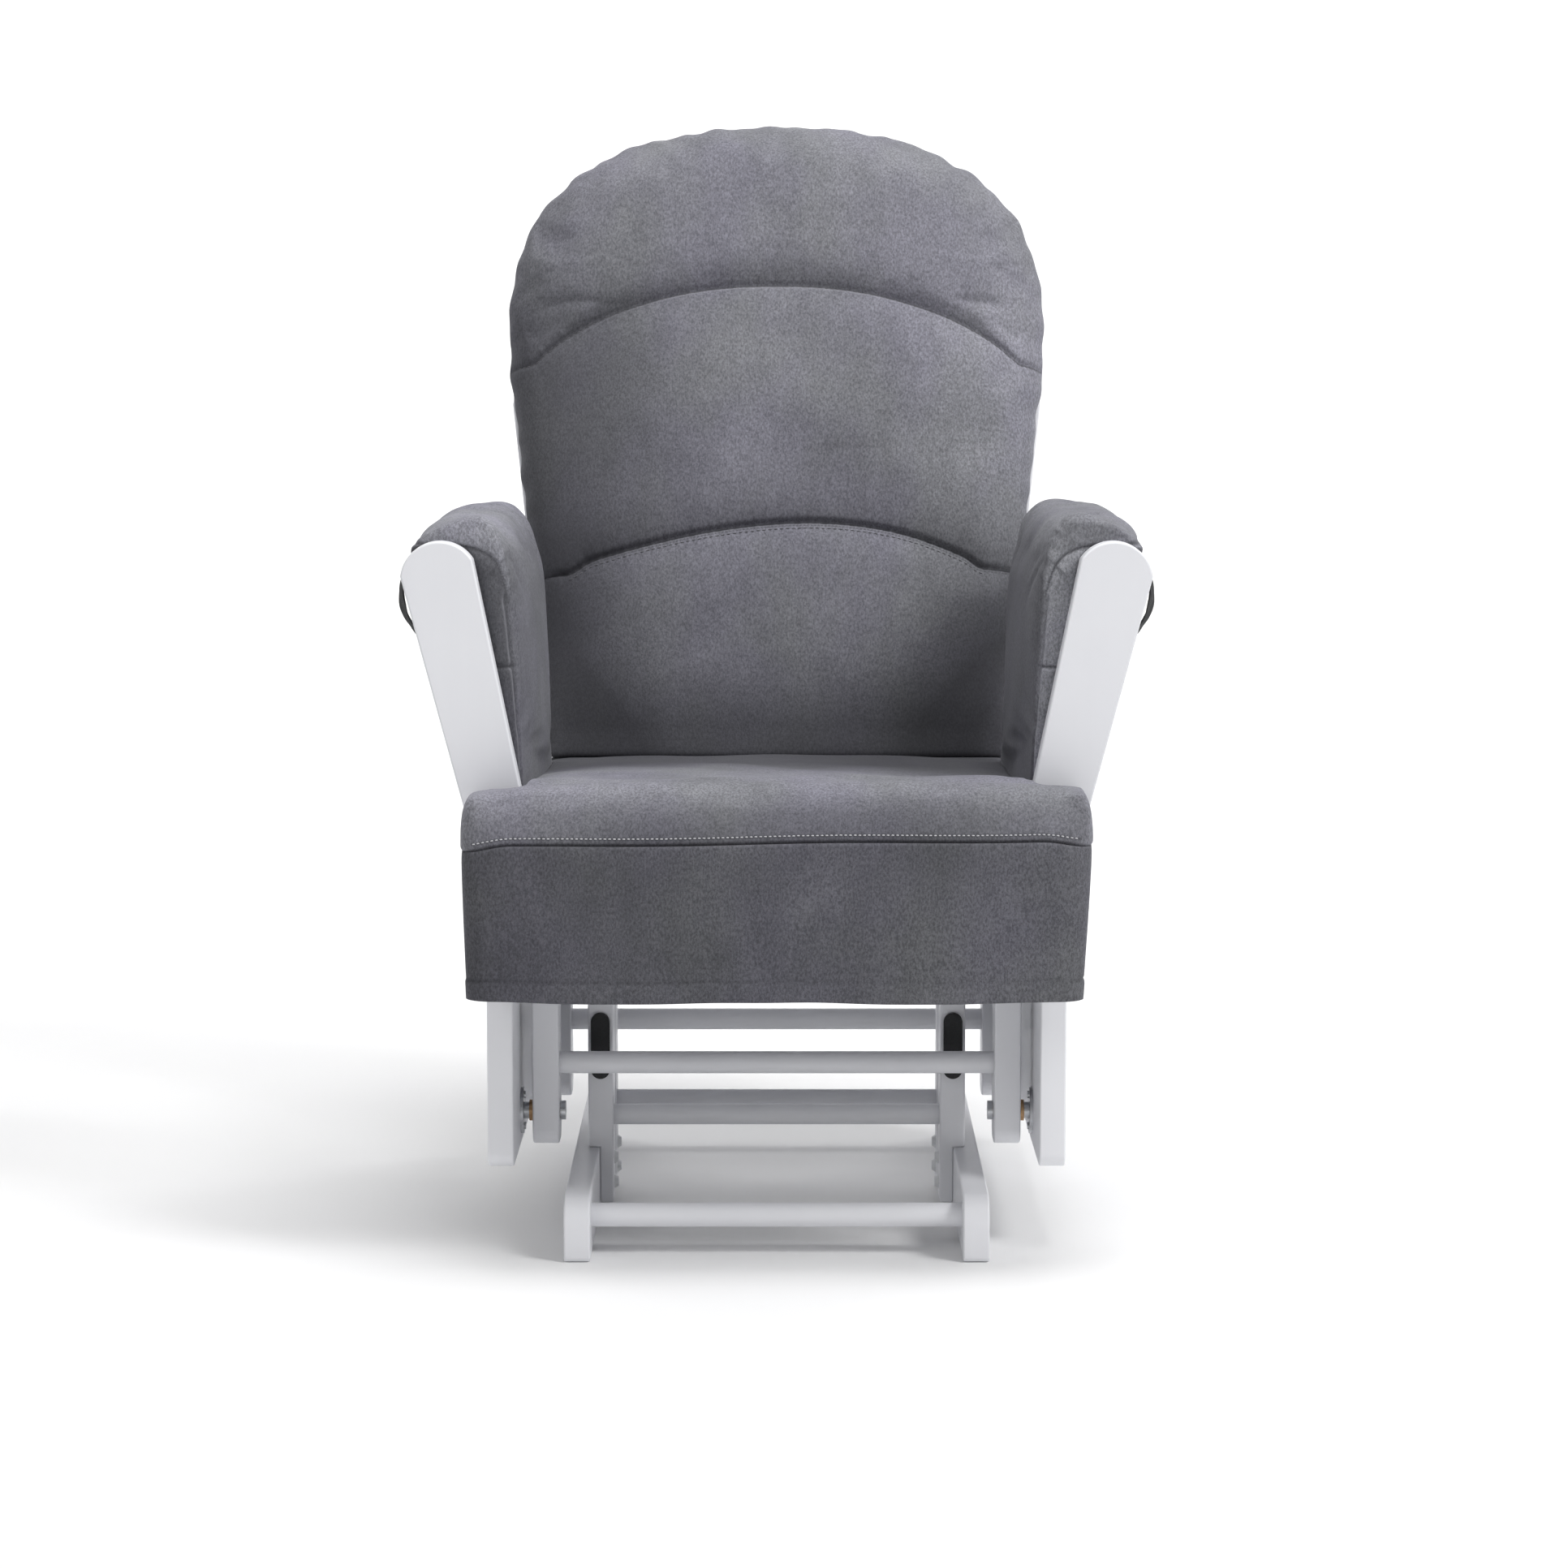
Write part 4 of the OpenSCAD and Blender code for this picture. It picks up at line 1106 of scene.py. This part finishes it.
def seam_threads(seat, back):
    """Rows of stitches with their threads: over the seat's front seam and along the back's arched seams."""
    x = np.linspace(-STITCH_HALF, STITCH_HALF, 515)
    seat_line = np.column_stack([x, np.full(len(x), -0.5), seam_on_front(x) + STITCH_RISE])
    upper_line = from_back(raised_to(UPPER_SEAM[30:-30], -0.3))
    lower_line = from_back(raised_to(LOWER_SEAM[60:-60] - (0, 0.0055), -0.3))
    # name, piece, line, direction of the look, length, gap and radius of a stitch, thread
    rows = (
        ("seat_top_stitch", seat, seat_line, (0, 1, 0), 0.0026, 0.0016, 0.0006, light_thread),
        ("back_stitch_upper", back, upper_line, tuple(BEHIND), 0.0040, 0.0018, 0.0004, dark_thread),
        ("back_stitch_lower", back, lower_line, tuple(BEHIND), 0.0042, 0.0018, 0.00045, dark_thread),
    )
    return [(stitch_row(*row[:-1]), row[-1]) for row in rows]


# ---- build

finish_cad_nodes()

seat = seat_cushion_start()
remesh(seat, voxel=0.0055)
back = back_cushion_start()
remesh(back, voxel=0.0055)
pads = {}
for side, name in ((1, "arm_pad_right"), (-1, "arm_pad_left")):
    pads[side] = arm_pad_start(side, name + "_cover")
    remesh(pads[side], voxel=0.0045)
    relax(pads[side], steps=2)

filling = Inflation()
filling.add(seat, pressure=4.0, cap=0.005, held=seat_held(seat))
filling.add(back, pressure=4.0, cap=0.012, held=back_seam_weights(back))
for side, pad in pads.items():
    filling.add(pad, pressure=3.0, cap=0.007, held=pad_held(pad, side))
filling.run()

for piece in (seat, back, *pads.values()):
    relax(piece, steps=2)
    subdivide(piece)
# finer and finer faces towards the seams
for reach in (0.010, 0.006):
    p = to_back(points_of(back))
    to_seam = np.minimum(distance_to(UPPER_SEAM, p[:, :2])[0], distance_to(LOWER_SEAM, p[:, :2])[0])
    refine(back, (to_seam < reach) & (p[:, 2] < -0.03))
    p = points_of(seat)
    to_seam = np.abs(p[:, 2] - seam_on_front(p[:, 0]) - 0.003)
    refine(seat, (to_seam < reach + 0.004) & (p[:, 1] < -0.28))
for pad in pads.values():
    refine(pad, points_of(pad)[:, 1] < PAD_FRONT + 0.014)
finish_seat_cushion(seat)
finish_back_cushion(back)
for side, pad in pads.items():
    finish_arm_pad(pad, side)

covers = [(seat, seat_material), (back, back_material), *((pads[s], pad_materials[s]) for s in (1, -1))]
for piece, cloth in covers:
    smooth_shade(piece)
    set_material(piece, cloth)
    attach(piece, "seat")
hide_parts("seat_cushion")
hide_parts("back_cushion")
for side, name in ((1, "arm_pad_right"), (-1, "arm_pad_left")):
    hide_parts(name)

skirt, skirt_length = build_skirt()
set_material(skirt, skirt_material)
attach(skirt, "seat")
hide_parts("seat_skirt")

for side, name in ((1, "arm_straps_right"), (-1, "arm_straps_left")):
    straps = build_straps(side, name + "_webbing")
    set_material(straps, slot_materials["black_webbing"])
    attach(straps, "seat")
    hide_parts(name)

for row, thread_material in seam_threads(seat, back):
    set_material(row, thread_material)
    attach(row, "seat")

# ---- stage, light and camera

STAGE_HALF = 7.0
STAGE_NEAR = -6.0
SWEEP_START = 3.2
SWEEP_RADIUS = 1.6
BACKDROP_HEIGHT = 7.0
# the floor lies this much under the chair, so that their faces don't coincide
FLOOR_DROP = 0.0002
CAMERA_PLACE = (0, -3.945, 0.885)
CAMERA_TILT = 6.97
CAMERA_LENS = 93.9
CAMERA_SHIFT = 0.0047


def build_stage():
    """A pale floor that curves up into a backdrop."""
    profile = [(STAGE_NEAR, 0.0), (SWEEP_START, 0.0)]
    for a in np.radians(np.linspace(0, 90, 16)):
        profile.append((SWEEP_START + SWEEP_RADIUS * math.sin(a), SWEEP_RADIUS * (1 - math.cos(a))))
    profile.append((SWEEP_START + SWEEP_RADIUS, BACKDROP_HEIGHT))
    points = [(x, y, z - FLOOR_DROP) for y, z in profile for x in (-STAGE_HALF, STAGE_HALF)]
    faces = [(2 * i, 2 * i + 1, 2 * i + 3, 2 * i + 2) for i in range(len(profile) - 1)]
    floor = new_piece("studio_floor", points, faces)
    smooth_shade(floor)
    set_material(floor, stage_floor())


def area_light(name, place, target, size, power):
    """A soft box at a place, turned to a target, with its power in watts."""
    light = bpy.data.lights.new(name, "AREA")
    light.shape = "RECTANGLE"
    light.size, light.size_y = size
    light.energy = power
    obj = bpy.data.objects.new(name, light)
    obj.location = place
    obj.rotation_euler = (Vector(target) - Vector(place)).to_track_quat("-Z", "Y").to_euler()
    bpy.context.scene.collection.objects.link(obj)


def build_light():
    """An even white world, three soft boxes on the chair and two on the backdrop."""
    world = bpy.data.worlds.new("studio")
    world.use_nodes = True
    background = world.node_tree.nodes["Background"]
    background.inputs["Color"].default_value = (1, 1, 1, 1)
    background.inputs["Strength"].default_value = 0.30
    bpy.context.scene.world = world
    centre = (0, 0, 0.6)
    area_light("key", (3.4, -2.4, 4.2), centre, (1.6, 1.6), 145)
    area_light("fill", (-2.2, -3.6, 2.2), centre, (1.6, 1.6), 19)
    area_light("top", (0.2, -0.5, 3.5), centre, (1.6, 1.4), 66)
    for side in (-1, 1):
        area_light(f"backdrop_{side}", (side * 2.6, 2.4, 2.8), (side * 1.2, 4.8, 0.7), (1.6, 1.6), 72)


def build_camera():
    data = bpy.data.cameras.new("camera")
    data.sensor_width = 36
    data.lens = CAMERA_LENS
    data.shift_x = CAMERA_SHIFT
    camera = bpy.data.objects.new("camera", data)
    camera.location = CAMERA_PLACE
    camera.rotation_euler = (math.radians(90 - CAMERA_TILT), 0, 0)
    bpy.context.scene.collection.objects.link(camera)
    bpy.context.scene.camera = camera


build_stage()
build_light()
build_camera()
bpy.context.scene.view_settings.view_transform = "Standard"

bpy.context.view_layer.update()
